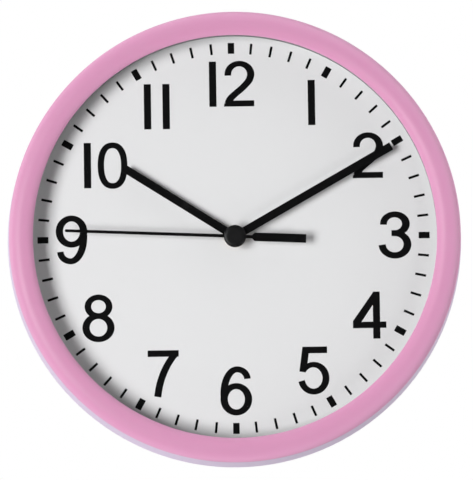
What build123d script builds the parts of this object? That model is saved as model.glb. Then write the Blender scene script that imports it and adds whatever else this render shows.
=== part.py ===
"""Round wall clock with a battery quartz movement, seen from the front.

Frame: the origin is the centre of the rim that lies on the wall.  +Z points to
twelve o'clock, +X to three o'clock, and the clock faces -Y.  Lengths are in
millimetres.  A "depth" is a distance in front of the wall, so depth 0 is the
wall itself and a larger depth is nearer to the person who reads the clock.
"""

from build123d import *

import os
from math import cos, hypot, radians, sin, sqrt

os.makedirs("parts", exist_ok=True)

# ---------------------------------------------------------------- battery, AA
battery_radius = 7.1
battery_length = 50.2
battery_edge = 0.4
terminal_radius = 2.7
terminal_height = 1.0

# ------------------------------------------------------------- movement case
movement_corner = 3.0
shell = 1.2
movement_front_wall = 1.3
bay_floor = 1.0
bay_side_gap = 0.7
battery_seat_gap = 0.3
battery_rear_margin = 0.5
partition = 1.4
contact_thickness = 0.4
contact_wall_gap = 0.4
contact_half_depth = 4.0
contact_margin = 1.0
contact_clearance = 0.1
tail_rise = 9.4
tail_overlap = 1.0
spring_room = 0.9
cover_thickness = 1.4
cover_gap = 0.1
wall_gap = 4.2

# ------------------------------------------------- snap hooks of the cover
latch_width = 5.0
latch_leg = 1.0
latch_length = 4.6
latch_barb = 0.9
barb_thickness = 1.2
barb_end_gap = 0.6
window_gap = 0.2
latch_tab_gap = 0.5
side_latch_height = 14.0

# ------------------------------------------------ hanging tab on the movement
tab_width = 22.0
tab_thickness = 2.2
tab_margin = 1.0
tab_corner = 4.0
keyhole_radius = 4.6
keyhole_slot_width = 4.8
keyhole_slot_rise = 7.0
keyhole_base = 7.0
gusset_thickness = 1.5
gusset_reach = 8.0

# ---------------------------------------------- levels inside the movement
gear_thickness = 0.9
hour_wheel_gap = 0.4
motion_gap = 0.7
plate_gap = 0.3
plate_thickness = 0.7
third_gap = 1.4
seconds_gap = 1.0
fifth_gap = 0.7
pinion_overhang = 0.15
pivot_depth = 0.9
running_gap = 0.06
train_gap = 2.125

# ------------------------------------------------------------------- gearing
running_module = 0.25
motion_module = 0.35
addendum = 0.7
dedendum = 1.0
root_share = 0.27
tip_share = 0.11
rotor_teeth = 8
fifth_teeth = 40
fifth_pinion_teeth = 10
seconds_teeth = 60
seconds_pinion_teeth = 8
third_teeth = 60
third_pinion_teeth = 8
minute_teeth = 64
cannon_teeth = 12
motion_teeth = 36
motion_pinion_teeth = 10
hour_teeth = 40
setting_teeth = 12
fifth_direction = 20.0
rotor_direction = 10.0
third_direction = 170.0
motion_direction = 110.0
setting_direction = 120.0

# -------------------------------------------------------------------- arbors
seconds_arbor_radius = 0.5
train_arbor_radius = 0.4
rotor_arbor_radius = 0.35
motion_arbor_radius = 0.5
setting_arbor_radius = 1.0
minute_tube_radius = 1.6
hour_tube_radius = 2.5
bush_radius = 3.5
bush_flange_radius = 4.6
bush_flange_thickness = 0.6
clutch_flange_radius = 2.4
clutch_flange_thickness = 0.5

# ---------------------------------------------------------- stepping motor
magnet_radius = 3.0
magnet_thickness = 2.4
stator_air_gap = 0.4
stator_ring_width = 1.8
stator_thickness = 1.0
stator_drop = 0.2
stator_arm_width = 3.2
stator_arm_spread = 35.0
stator_post_radius = 1.6
core_width = 3.0
core_thickness = 1.0
core_side_gap = 1.1
coil_wall_gap = 0.5
coil_cover_gap = 1.3
bobbin_tube_radius = 1.9
bobbin_bore_radius = 1.65
bobbin_flange = 0.8
bobbin_arm_gap = 0.2
winding_inset = 0.4

# ------------------------------------------------- plate, posts and circuit
post_radius = 1.5
pin_radius = 1.0
pin_gap = 0.05
post_wall_gap = 0.6
post_coil_gap = 1.1
post_pinion_gap = 1.2
plate_margin = 1.4
board_thickness = 0.8
board_post_gap = 0.4
board_height = 21.4
board_post_height = 1.5
board_post_inset_x = 3.0
board_post_inset_z = 4.3
stake_radius = 0.8
chip_size = 5.0
chip_height = 1.2
chip_rise = 1.0
crystal_radius = 1.0
crystal_length = 6.0
crystal_margin = 2.0

# -------------------------------------------------------------- setting knob
knob_radius = 5.5
knob_thickness = 2.0
knob_gap = 0.2
knob_notches = 18
knob_notch_radius = 0.45

# ---------------------------------------------------- dial side of the case
rubber_thickness = 1.0
rubber_radius = 9.0
floor_thickness = 2.0
dial_thickness = 0.8
dial_side_gap = 0.2
bush_hole_gap = 0.2
washer_radius = 5.3
washer_thickness = 0.5
nut_across_flats = 9.2
nut_thickness = 2.0
bush_end = 0.3

# --------------------------------------------------------------------- hands
hand_gap = 0.25
collet_flange = 0.4
collet_wall = 0.6
collet_flange_width = 1.3
collet_rise = 0.6
hand_thickness = 0.4
hour_hand_room = 40.3
hour_hand_width = 4.4
hour_hand_eye = 5.4
hour_hand_angle = 302.55
minute_hand_room = 11.3
minute_hand_width = 4.5
minute_hand_eye = 4.6
minute_hand_angle = 60.65
second_hand_room = 17.4
second_hand_root_width = 1.85
second_hand_tip_width = 1.6
second_hand_thickness = 0.3
second_hand_eye = 3.6
second_hand_angle = 272.65
tail_neck_length = 9.6
tail_shoulder = 1.3
tail_length = 39.4
tail_width = 4.75
cap_radius = 6.2
cap_height = 1.6
cap_rim_height = 0.5
cap_top_radius = 3.9
glass_gap = 0.6

# --------------------------------------------------------- bezel and its glass
bezel_radius = 125.0
crown_radius = 7.4
lip_angle = 54.2
lip_thickness = 0.9
lip_overlap = 3.2
lens_thickness = 1.8
lens_side_gap = 0.3
pocket_wall = 1.4
pocket_overhang = 1.0
bezel_wall = 1.7
skirt_length = 4.8
skirt_draft = 0.3
ring_setback = 0.6

# ------------------------------------------------------------------ rear case
rear_flare = 2.3
rear_edge = 0.8
case_wall = 2.2
shoulder_set = 0.1
shoulder_drop = 1.6
shoulder_bevel = 0.9
seam_gap = 0.6
tongue_gap = 0.2
tongue_wall = 1.8
tongue_height = 4.0
frame_gap = 0.4
frame_wall = 1.6
frame_height = 3.0
rib_count = 6
rib_thickness = 1.6
rib_height = 3.0
rib_ring_radius = 80.0

# ------------------------------------------------------------- case screws
screw_count = 6
screw_first_angle = 30.0
boss_gap = 0.2
screw_radius = 1.0
screw_pilot_gap = 0.05
screw_hole_gap = 0.3
screw_head_radius = 2.0
screw_head_height = 1.4
screw_reach = 8.0
screw_tip_room = 1.0
screw_recess_radius = 0.8
screw_recess_depth = 0.7


# ------------------------------------------------------------ derived places
wheel_tip = running_module * (seconds_teeth / 2 + addendum)
train_room = wheel_tip + train_gap
bay_height = 2 * (battery_radius + bay_side_gap)
half_width = battery_length / 2 + spring_room + contact_thickness + contact_wall_gap + shell
half_height = train_room + partition + bay_height + shell
movement_depth = 2 * battery_radius + battery_seat_gap + bay_floor + battery_rear_margin
movement_rear = wall_gap
movement_front = movement_rear + movement_depth
cavity_front = movement_front - movement_front_wall
cover_front = movement_rear + cover_thickness
tab_height = keyhole_base + keyhole_slot_rise + tab_margin
inner_width = half_width - shell
inner_top = half_height - shell
bay_bottom = -half_height + shell
bay_top = bay_bottom + bay_height
cavity_bottom = bay_top + partition
battery_height = (bay_bottom + bay_top) / 2
battery_depth = movement_front - bay_floor - battery_seat_gap - battery_radius
contact_face = inner_width - contact_wall_gap - contact_thickness

hour_level = cavity_front - hour_wheel_gap - gear_thickness
motion_level = hour_level - motion_gap - gear_thickness
plate_level = motion_level - plate_gap - plate_thickness
minute_level = plate_level - plate_gap - gear_thickness
third_level = minute_level - third_gap - gear_thickness
seconds_level = third_level - seconds_gap - gear_thickness
fifth_level = seconds_level - fifth_gap - gear_thickness
plate_front = plate_level + plate_thickness
pivot_rear = cover_front - pivot_depth
pivot_front = cavity_front + pivot_depth
stator_level = third_level - stator_drop
core_rear = stator_level - core_thickness
core_middle = stator_level - core_thickness / 2
bobbin_radius = core_middle - cover_front - coil_cover_gap
winding_radius = bobbin_radius - winding_inset
coil_height = inner_top - bobbin_radius - coil_wall_gap

floor_back = movement_front + rubber_thickness
floor_front = floor_back + floor_thickness
dial_front = floor_front + dial_thickness
bush_top = dial_front + washer_thickness + nut_thickness + bush_end
hour_collet_base = bush_top + hand_gap
hour_hand_level = hour_collet_base + collet_flange
hour_tube_top = hour_hand_level + hand_thickness + collet_rise
minute_collet_base = hour_tube_top + hand_gap
minute_hand_level = minute_collet_base + collet_flange
minute_tube_top = minute_hand_level + hand_thickness + collet_rise
second_collet_base = minute_tube_top + hand_gap
second_hand_level = second_collet_base + collet_flange
cap_base = second_hand_level + second_hand_thickness
arbor_top = cap_base + cap_height / 2
lens_back = cap_base + cap_height + glass_gap
lens_front = lens_back + lens_thickness
lip_edge = lens_front + lip_thickness
crown_middle = bezel_radius - crown_radius
lip_radius = crown_middle - crown_radius * sin(radians(lip_angle))
crown_base = lip_edge - crown_radius * cos(radians(lip_angle))
bezel_front = crown_base + crown_radius
lens_radius = lip_radius + lip_overlap
dial_radius = lens_radius - dial_side_gap
ring_radius = lip_radius + ring_setback
hour_hand_length = lip_radius - hour_hand_room
minute_hand_length = lip_radius - minute_hand_room
second_hand_length = lip_radius - second_hand_room
pocket_radius = lens_radius + lens_side_gap
pocket_outer = pocket_radius + pocket_wall
skirt_inner = bezel_radius - bezel_wall
seam_depth = crown_base - skirt_length
shoulder_top = seam_depth - seam_gap
tongue_radius = skirt_inner - tongue_gap
tongue_inner = tongue_radius - tongue_wall
boss_circle = (pocket_outer + tongue_inner) / 2
boss_radius = (tongue_inner - pocket_outer) / 2 - boss_gap
shoulder_radius = bezel_radius - shoulder_set
back_radius = shoulder_radius + rear_flare
bush_hole_radius = bush_radius + bush_hole_gap


def polar(distance, direction, start=(0.0, 0.0)):
    """Point at a distance and direction, in degrees, from a start point."""
    angle = radians(direction)
    return (start[0] + distance * cos(angle), start[1] + distance * sin(angle))


def mesh_phase(phase, teeth, next_teeth, direction):
    """Phase that puts the next gear in mesh with one of a known phase."""
    return direction + 180 + 180 / next_teeth - (phase - direction) * teeth / next_teeth


fifth_distance = running_module * (fifth_pinion_teeth + seconds_teeth) / 2
rotor_distance = running_module * (rotor_teeth + fifth_teeth) / 2
third_distance = running_module * (seconds_pinion_teeth + third_teeth) / 2
minute_module = 2 * third_distance / (third_pinion_teeth + minute_teeth)
motion_distance = motion_module * (cannon_teeth + motion_teeth) / 2
hour_module = 2 * motion_distance / (motion_pinion_teeth + hour_teeth)
setting_distance = motion_module * (motion_teeth + setting_teeth) / 2

centre = (0.0, 0.0)
fifth_at = polar(fifth_distance, fifth_direction)
rotor_at = polar(rotor_distance, rotor_direction, fifth_at)
third_at = polar(third_distance, third_direction)
motion_at = polar(motion_distance, motion_direction)
setting_at = polar(setting_distance, setting_direction, motion_at)
setting_tip = motion_module * (setting_teeth / 2 + addendum)

coil_right = inner_width - core_width / 2 - core_side_gap
coil_left = 2 * rotor_at[0] - coil_right
stator_posts = ((coil_left, coil_height), (coil_right, coil_height))
stator_ring_outer = magnet_radius + stator_air_gap + stator_ring_width
stator_foot = polar(stator_ring_outer - stator_arm_width / 2, 90 - stator_arm_spread, rotor_at)
arm_run = (coil_right - stator_foot[0], coil_height - stator_foot[1])
arm_edge = coil_right - (bobbin_radius * arm_run[0] + stator_arm_width / 2 * hypot(*arm_run)) / arm_run[1]
bobbin_right = arm_edge - bobbin_arm_gap
bobbin_left = 2 * rotor_at[0] - bobbin_right

post_left = setting_at[0] - setting_tip - post_radius - post_pinion_gap
post_right = rotor_at[0]
post_low = post_wall_gap + post_radius - train_room
post_high = coil_height - bobbin_radius - post_radius - post_coil_gap
post_places = (
    (post_left, post_low), (post_left, post_high), (post_right, post_high), (post_right, post_low)
)

rotor_phase = rotor_direction + 180
fifth_phase = mesh_phase(rotor_phase, rotor_teeth, fifth_teeth, rotor_direction + 180)
fifth_pinion_phase = fifth_direction + 180
seconds_phase = mesh_phase(
    fifth_pinion_phase, fifth_pinion_teeth, seconds_teeth, fifth_direction + 180
)
seconds_pinion_phase = third_direction
third_phase = mesh_phase(seconds_pinion_phase, seconds_pinion_teeth, third_teeth, third_direction)
third_pinion_phase = third_direction + 180
minute_phase = mesh_phase(
    third_pinion_phase, third_pinion_teeth, minute_teeth, third_direction + 180
)
cannon_phase = motion_direction
motion_phase = mesh_phase(cannon_phase, cannon_teeth, motion_teeth, motion_direction)
motion_pinion_phase = motion_direction + 180
hour_phase = mesh_phase(
    motion_pinion_phase, motion_pinion_teeth, hour_teeth, motion_direction + 180
)
setting_phase = mesh_phase(motion_phase, motion_teeth, setting_teeth, setting_direction)


def facing(depth):
    """Sketch plane parallel to the dial at a depth, with x to the right and y up."""
    return Plane(origin=(0, -depth, 0), x_dir=(1, 0, 0), z_dir=(0, -1, 0))


# Profile plane of the turned pieces: x is the radius and y the depth.
PROFILE = Plane(origin=(0, 0, 0), x_dir=(1, 0, 0), z_dir=(0, 0, -1))


def disc(radius, start, end, at=centre, mode=Mode.ADD):
    """Round disc or hole between two depths of the piece being built."""
    with BuildSketch(facing(start)) as outline:
        with Locations(at):
            Circle(radius)
    extrude(outline.sketch, amount=end - start, mode=mode)


def block(left, right, bottom, top, start, end, mode=Mode.ADD):
    """Rectangular block or pocket between two depths of the piece being built."""
    with BuildSketch(facing(start)) as outline:
        with Locations(((left + right) / 2, (bottom + top) / 2)):
            Rectangle(right - left, top - bottom)
    extrude(outline.sketch, amount=end - start, mode=mode)


def gear(module, teeth, start, end, at, phase):
    """Spur gear of straight-sided teeth; phase is the first tooth's direction."""
    root = module * (teeth / 2 - dedendum)
    tip = module * (teeth / 2 + addendum)
    corners = ((root, -root_share), (tip, -tip_share), (tip, tip_share), (root, root_share))
    points = []
    for tooth in range(teeth):
        for radius, share in corners:
            points.append(polar(radius, phase + (tooth + share) * 360 / teeth, at))
    with BuildSketch(facing(start)) as outline:
        with BuildLine():
            Polyline(*points, close=True)
        make_face()
    extrude(outline.sketch, amount=end - start)


def hand_blank(length, width, eye, angle, level):
    """Flat hand with a round eye; the angle is clockwise from twelve o'clock."""
    with BuildSketch(facing(level)) as outline:
        Circle(eye)
        Rectangle(length, width, rotation=90 - angle, align=(Align.MIN, Align.CENTER))
    extrude(outline.sketch, amount=hand_thickness)


def save(piece, name):
    """Labels a finished piece and writes its STEP file."""
    piece.part.label = name
    export_step(piece.part, f"parts/{name}.step")


# ================================================================ case pieces
# Bezel: a ring with a round crown, a lip over the glass, a pocket wall that
# holds the glass, and a skirt that slides over the rear case's tongue.
cavity_radius = crown_radius - bezel_wall
cavity_top = crown_base + sqrt(cavity_radius**2 - (pocket_outer - crown_middle) ** 2)
pocket_end = lens_back - pocket_overhang
with BuildPart() as bezel:
    with BuildSketch(PROFILE):
        with BuildLine():
            Line((bezel_radius - skirt_draft, seam_depth), (bezel_radius, crown_base))
            RadiusArc((bezel_radius, crown_base), (crown_middle, bezel_front), -crown_radius)
            RadiusArc((crown_middle, bezel_front), (lip_radius, lip_edge), -crown_radius)
            Polyline(
                (lip_radius, lip_edge),
                (lip_radius, lens_front),
                (pocket_radius, lens_front),
                (pocket_radius, pocket_end),
                (pocket_outer, pocket_end),
                (pocket_outer, cavity_top),
            )
            RadiusArc((pocket_outer, cavity_top), (skirt_inner, crown_base), cavity_radius)
            Polyline(
                (skirt_inner, crown_base),
                (skirt_inner, seam_depth),
                (bezel_radius - skirt_draft, seam_depth),
            )
        make_face()
    revolve(axis=Axis.Y)
    with BuildSketch(facing(floor_front)) as bosses:
        with PolarLocations(boss_circle, screw_count, screw_first_angle):
            Circle(boss_radius)
    extrude(amount=crown_base + cavity_radius - floor_front)
    with BuildSketch(facing(floor_front)) as pilots:
        with PolarLocations(boss_circle, screw_count, screw_first_angle):
            Circle(screw_radius + screw_pilot_gap)
    extrude(amount=screw_reach + screw_tip_room, mode=Mode.SUBTRACT)
save(bezel, "bezel")

# Flat clear disc behind the lip.
with BuildPart() as lens:
    disc(lens_radius, lens_back, lens_front)
save(lens, "lens")

# Ring that keeps the glass off the dial and presses both into place.
with BuildPart() as spacer_ring:
    disc(dial_radius, dial_front, lens_back)
    disc(ring_radius, dial_front, lens_back, mode=Mode.SUBTRACT)
save(spacer_ring, "spacer_ring")

# Dial card on the floor of the rear case.
with BuildPart() as dial:
    disc(dial_radius, floor_front, dial_front)
    disc(bush_hole_radius, floor_front, dial_front, mode=Mode.SUBTRACT)
save(dial, "dial")

# Rear case: a flared side wall, a floor that carries the dial, and the tongue
# inside the bezel.
with BuildPart() as rear_case:
    with BuildSketch(PROFILE):
        with BuildLine():
            inner_slope = (back_radius - shoulder_radius) / (shoulder_top - shoulder_drop)
            wall_inner = back_radius - case_wall
            Polyline(
                (wall_inner, 0),
                (back_radius - rear_edge, 0),
                (back_radius, rear_edge),
                (shoulder_radius, shoulder_top - shoulder_drop),
                (shoulder_radius - shoulder_bevel, shoulder_top),
                (tongue_radius, shoulder_top),
                (tongue_radius, shoulder_top + tongue_height),
                (tongue_inner, shoulder_top + tongue_height),
                (tongue_inner, floor_front),
                (0, floor_front),
                (0, floor_back),
                (wall_inner - inner_slope * floor_back, floor_back),
                (wall_inner, 0),
            )
        make_face()
    revolve(axis=Axis.Y)
    rib_end = wall_inner - inner_slope * floor_back
    frame_inner_x = half_width + frame_gap
    frame_inner_z = half_height + frame_gap
    with BuildSketch(facing(floor_back - frame_height)):
        Rectangle(2 * (frame_inner_x + frame_wall), 2 * (frame_inner_z + frame_wall))
        Rectangle(2 * frame_inner_x, 2 * frame_inner_z, mode=Mode.SUBTRACT)
    extrude(amount=frame_height)
    with BuildSketch(facing(floor_back - rib_height)):
        Circle(rib_ring_radius + rib_thickness / 2)
        Circle(rib_ring_radius - rib_thickness / 2, mode=Mode.SUBTRACT)
        rib_start = max(frame_inner_x, frame_inner_z) * sqrt(2)
        with PolarLocations((rib_start + rib_end) / 2, rib_count):
            Rectangle(rib_end - rib_start, rib_thickness)
    extrude(amount=rib_height)
    disc(bush_hole_radius, floor_back, floor_front, mode=Mode.SUBTRACT)
    with BuildSketch(facing(floor_back)):
        with PolarLocations(boss_circle, screw_count, screw_first_angle):
            Circle(screw_radius + screw_hole_gap)
    extrude(amount=floor_thickness, mode=Mode.SUBTRACT)
save(rear_case, "rear_case")

# Pan-head screws from behind the floor into the bezel's bosses.
with BuildPart() as case_screws:
    with BuildSketch(facing(floor_back - screw_head_height)):
        with PolarLocations(boss_circle, screw_count, screw_first_angle):
            Circle(screw_head_radius)
    extrude(amount=screw_head_height)
    with BuildSketch(facing(floor_back)):
        with PolarLocations(boss_circle, screw_count, screw_first_angle):
            Circle(screw_radius)
    extrude(amount=floor_thickness + screw_reach)
    with BuildSketch(facing(floor_back - screw_head_height)):
        with PolarLocations(boss_circle, screw_count, screw_first_angle):
            Rectangle(2 * screw_recess_radius, screw_recess_radius / 2)
            Rectangle(screw_recess_radius / 2, 2 * screw_recess_radius)
    extrude(amount=screw_recess_depth, mode=Mode.SUBTRACT)
save(case_screws, "case_screws")

# ============================================================ movement pieces
board_left = -contact_face
board_right = post_left - post_radius - board_post_gap
board_bottom = cavity_bottom + contact_thickness
board_top = board_bottom + board_height
board_rear = cavity_front - board_post_height - board_thickness
board_front = board_rear + board_thickness
board_posts = (
    (board_left + board_post_inset_x, board_top - board_post_inset_z),
    (board_right - board_post_inset_x, board_bottom + board_post_inset_z),
)
stator_front = stator_level + stator_thickness
top_latch_place = -(tab_width + latch_width) / 2 - latch_tab_gap
tail_slot_width = contact_wall_gap + 2 * contact_thickness
barb_end = cover_front + latch_length - barb_end_gap
barb_start = barb_end - barb_thickness

# Movement case: open at the rear, with the gear room above the battery bay and
# the hanging tab on top.
with BuildPart() as movement_case:
    with BuildSketch(facing(movement_rear)):
        RectangleRounded(2 * half_width, 2 * half_height, movement_corner)
    extrude(amount=movement_depth)
    block(-inner_width, inner_width, cavity_bottom, inner_top,
          movement_rear, cavity_front, mode=Mode.SUBTRACT)
    block(-inner_width, inner_width, bay_bottom, bay_top,
          movement_rear, movement_front - bay_floor, mode=Mode.SUBTRACT)
    for side in (-1, 1):
        slot_edges = sorted((side * inner_width, side * (inner_width - tail_slot_width)))
        block(*slot_edges, bay_top, cavity_bottom, cover_front, cavity_front, mode=Mode.SUBTRACT)
        window_edges = sorted((side * half_width, side * inner_width))
        block(*window_edges,
              side_latch_height - latch_width / 2 - window_gap,
              side_latch_height + latch_width / 2 + window_gap,
              barb_start - window_gap, barb_end + window_gap, mode=Mode.SUBTRACT)
    block(top_latch_place - latch_width / 2 - window_gap,
          top_latch_place + latch_width / 2 + window_gap,
          inner_top, half_height,
          barb_start - window_gap, barb_end + window_gap, mode=Mode.SUBTRACT)
    for place in post_places:
        disc(post_radius, plate_front, cavity_front, place)
        disc(pin_radius, plate_level - plate_thickness, plate_front, place)
    for place in stator_posts:
        disc(stator_post_radius, stator_front, cavity_front, place)
        disc(stake_radius, stator_level - core_thickness, stator_front, place)
    for place in board_posts:
        disc(post_radius, board_front, cavity_front, place)
        disc(stake_radius, board_rear, board_front, place)
    disc(motion_arbor_radius + running_gap, cavity_front, pivot_front, motion_at, Mode.SUBTRACT)
    disc(bush_radius, cavity_front, movement_front, mode=Mode.SUBTRACT)
    tab_base = half_height - shell / 2
    with BuildSketch(facing(movement_rear)):
        with Locations((0, half_height + tab_height / 2)):
            RectangleRounded(tab_width, tab_height, tab_corner)
        with Locations((0, (tab_base + half_height + tab_corner) / 2)):
            Rectangle(tab_width, half_height + tab_corner - tab_base)
        with Locations((0, half_height + keyhole_base)):
            Circle(keyhole_radius, mode=Mode.SUBTRACT)
            Rectangle(keyhole_slot_width, keyhole_slot_rise - keyhole_slot_width / 2,
                      align=(Align.CENTER, Align.MIN), mode=Mode.SUBTRACT)
        with Locations((0, half_height + keyhole_base + keyhole_slot_rise - keyhole_slot_width / 2)):
            Circle(keyhole_slot_width / 2, mode=Mode.SUBTRACT)
    extrude(amount=tab_thickness)
    for side in (-1, 1):
        gusset_left = side * (tab_width - gusset_thickness) / 2 - gusset_thickness / 2
        with BuildSketch(Plane.YZ.offset(gusset_left)):
            Polygon(
                (-movement_rear - tab_thickness, half_height - shell / 2),
                (-movement_rear - tab_thickness, half_height + gusset_reach),
                (-movement_rear - tab_thickness - gusset_reach, half_height),
                (-movement_rear - tab_thickness - gusset_reach, half_height - shell / 2),
                align=None,
            )
        extrude(amount=gusset_thickness)
save(movement_case, "movement_case")

# Rear cover of the gear room, with the columns that clamp the middle plate,
# the arbors' rear bearings and three snap hooks.
with BuildPart() as movement_cover:
    block(-inner_width + cover_gap, inner_width - cover_gap,
          cavity_bottom + cover_gap, inner_top - cover_gap, movement_rear, cover_front)
    for place in post_places:
        disc(post_radius, cover_front, plate_level, place)
        disc(pin_radius + pin_gap, plate_level - plate_thickness - pin_gap, plate_level,
             place, Mode.SUBTRACT)
    for place, radius in (
        (centre, seconds_arbor_radius),
        (third_at, train_arbor_radius),
        (fifth_at, train_arbor_radius),
        (rotor_at, rotor_arbor_radius),
    ):
        disc(radius + running_gap, pivot_rear, cover_front, place, Mode.SUBTRACT)
    disc(setting_arbor_radius + running_gap, movement_rear, cover_front,
         setting_at, Mode.SUBTRACT)
    leg_outer = inner_width - cover_gap
    leg_top = inner_top - cover_gap
    for side in (-1, 1):
        leg_edges = sorted((side * (leg_outer - latch_leg), side * leg_outer))
        block(*leg_edges, side_latch_height - latch_width / 2, side_latch_height + latch_width / 2,
              cover_front, cover_front + latch_length)
        barb_edges = sorted((side * leg_outer, side * (leg_outer + latch_barb)))
        block(*barb_edges, side_latch_height - latch_width / 2, side_latch_height + latch_width / 2,
              barb_start, barb_end)
    block(top_latch_place - latch_width / 2, top_latch_place + latch_width / 2,
          leg_top - latch_leg, leg_top, cover_front, cover_front + latch_length)
    block(top_latch_place - latch_width / 2, top_latch_place + latch_width / 2,
          leg_top, leg_top + latch_barb, barb_start, barb_end)
save(movement_cover, "movement_cover")

# Middle plate between the running train and the motion work.
with BuildPart() as middle_plate:
    block(post_left - post_radius, post_right + post_radius,
          post_low - plate_margin, post_high + plate_margin, plate_level, plate_front)
    for place in post_places:
        disc(pin_radius + pin_gap, plate_level, plate_front, place, Mode.SUBTRACT)
    for place, radius in (
        (centre, minute_tube_radius),
        (third_at, train_arbor_radius),
        (fifth_at, train_arbor_radius),
        (rotor_at, rotor_arbor_radius),
        (motion_at, motion_arbor_radius),
        (setting_at, setting_arbor_radius),
    ):
        disc(radius + running_gap, plate_level, plate_front, place, Mode.SUBTRACT)
save(middle_plate, "middle_plate")

# Threaded bush through the floor and the dial, shown with its thread plain.
with BuildPart() as centre_bush:
    disc(bush_radius, cavity_front, bush_top)
    disc(bush_flange_radius, movement_front, movement_front + bush_flange_thickness)
    disc(hour_tube_radius + running_gap, cavity_front, bush_top, mode=Mode.SUBTRACT)
save(centre_bush, "centre_bush")

with BuildPart() as rubber_washer:
    disc(rubber_radius, movement_front, floor_back)
    disc(bush_flange_radius + bush_hole_gap, movement_front, floor_back, mode=Mode.SUBTRACT)
save(rubber_washer, "rubber_washer")

nut_base = dial_front + washer_thickness
with BuildPart() as dial_washer:
    disc(washer_radius, dial_front, nut_base)
    disc(bush_radius, dial_front, nut_base, mode=Mode.SUBTRACT)
save(dial_washer, "dial_washer")

with BuildPart() as hex_nut:
    with BuildSketch(facing(nut_base)):
        RegularPolygon(nut_across_flats / 2, 6, major_radius=False)
        Circle(bush_radius, mode=Mode.SUBTRACT)
    extrude(amount=nut_thickness)
save(hex_nut, "hex_nut")

# ------------------------------------------------------- motor and electrics
with BuildPart() as stator:
    with BuildSketch(facing(stator_level)):
        with Locations(rotor_at):
            Circle(stator_ring_outer)
        for side in (-1, 1):
            foot = (rotor_at[0] + side * (stator_foot[0] - rotor_at[0]), stator_foot[1])
            post = (rotor_at[0] + side * (coil_right - rotor_at[0]), coil_height)
            half = stator_arm_width / 2 / hypot(*arm_run)
            across = (-arm_run[1] * half, side * arm_run[0] * half)
            Polygon(
                (foot[0] + across[0], foot[1] + across[1]),
                (post[0] + across[0], post[1] + across[1]),
                (post[0] - across[0], post[1] - across[1]),
                (foot[0] - across[0], foot[1] - across[1]),
                align=None,
            )
            with Locations(post):
                Circle(stator_arm_width / 2)
        with Locations(rotor_at):
            Circle(magnet_radius + stator_air_gap, mode=Mode.SUBTRACT)
        with Locations(*stator_posts):
            Circle(stake_radius + pin_gap, mode=Mode.SUBTRACT)
    extrude(amount=stator_thickness)
save(stator, "stator")

with BuildPart() as coil_core:
    with BuildSketch(facing(core_rear)):
        with Locations(((coil_left + coil_right) / 2, coil_height)):
            SlotCenterToCenter(coil_right - coil_left, core_width)
        with Locations(*stator_posts):
            Circle(stake_radius + pin_gap, mode=Mode.SUBTRACT)
    extrude(amount=core_thickness)
save(coil_core, "coil_core")


def barrel(radius, left, right, mode=Mode.ADD):
    """Round drum along X on the coil's axis, in the piece being built."""
    with BuildSketch(Plane.YZ.offset(left)) as outline:
        with Locations((-core_middle, coil_height)):
            Circle(radius)
    extrude(outline.sketch, amount=right - left, mode=mode)


with BuildPart() as coil_bobbin:
    barrel(bobbin_tube_radius, bobbin_left, bobbin_right)
    barrel(bobbin_radius, bobbin_left, bobbin_left + bobbin_flange)
    barrel(bobbin_radius, bobbin_right - bobbin_flange, bobbin_right)
    barrel(bobbin_bore_radius, bobbin_left, bobbin_right, Mode.SUBTRACT)
save(coil_bobbin, "coil_bobbin")

with BuildPart() as coil_winding:
    barrel(winding_radius, bobbin_left + bobbin_flange, bobbin_right - bobbin_flange)
    barrel(bobbin_tube_radius, bobbin_left + bobbin_flange, bobbin_right - bobbin_flange,
           Mode.SUBTRACT)
save(coil_winding, "coil_winding")

with BuildPart() as circuit_board:
    block(board_left, board_right, board_bottom, board_top, board_rear, board_front)
    for place in board_posts:
        disc(stake_radius, board_rear, board_front, place, Mode.SUBTRACT)
save(circuit_board, "circuit_board")

chip_at = ((board_left + board_right) / 2, (board_bottom + board_top) / 2 + chip_rise)
with BuildPart() as control_chip:
    block(chip_at[0] - chip_size / 2, chip_at[0] + chip_size / 2,
          chip_at[1] - chip_size / 2, chip_at[1] + chip_size / 2,
          board_rear - chip_height, board_rear)
save(control_chip, "control_chip")

with BuildPart() as quartz_crystal:
    with BuildSketch(Plane.XY.offset(board_bottom + crystal_margin)):
        with Locations((board_left + 2 * crystal_radius, -board_rear + crystal_radius)):
            Circle(crystal_radius)
    extrude(amount=crystal_length)
save(quartz_crystal, "quartz_crystal")

# Contacts: an upright plate at each end of the cell with a stud for its spring,
# and a tail through the partition to the circuit board.
contact_bottom = bay_bottom + contact_margin
contact_top = bay_top - contact_margin / 2
contact_rear = battery_depth - contact_half_depth
tail_rear = board_rear - tail_overlap
stud_length = spring_room - contact_clearance
with BuildPart() as contact_negative:
    block(-contact_face - contact_thickness, -contact_face, contact_bottom, contact_top,
          contact_rear, board_front)
    block(-contact_face - contact_thickness, -contact_face, contact_top, contact_top + tail_rise,
          tail_rear, board_front)
    with BuildSketch(Plane.YZ.offset(-contact_face)):
        with Locations((-battery_depth, battery_height)):
            Circle(terminal_radius)
    extrude(amount=stud_length)
save(contact_negative, "contact_negative")

with BuildPart() as contact_positive:
    block(contact_face, contact_face + contact_thickness, contact_bottom, contact_top,
          contact_rear, board_front)
    block(contact_face, contact_face + contact_thickness, contact_top,
          cavity_bottom + contact_thickness, tail_rear, board_front)
    block(board_right - tail_overlap, contact_face + contact_thickness,
          cavity_bottom, cavity_bottom + contact_thickness, tail_rear, board_front)
    with BuildSketch(Plane.YZ.offset(contact_face)):
        with Locations((-battery_depth, battery_height)):
            Circle(terminal_radius)
    extrude(amount=-stud_length)
save(contact_positive, "contact_positive")

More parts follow.
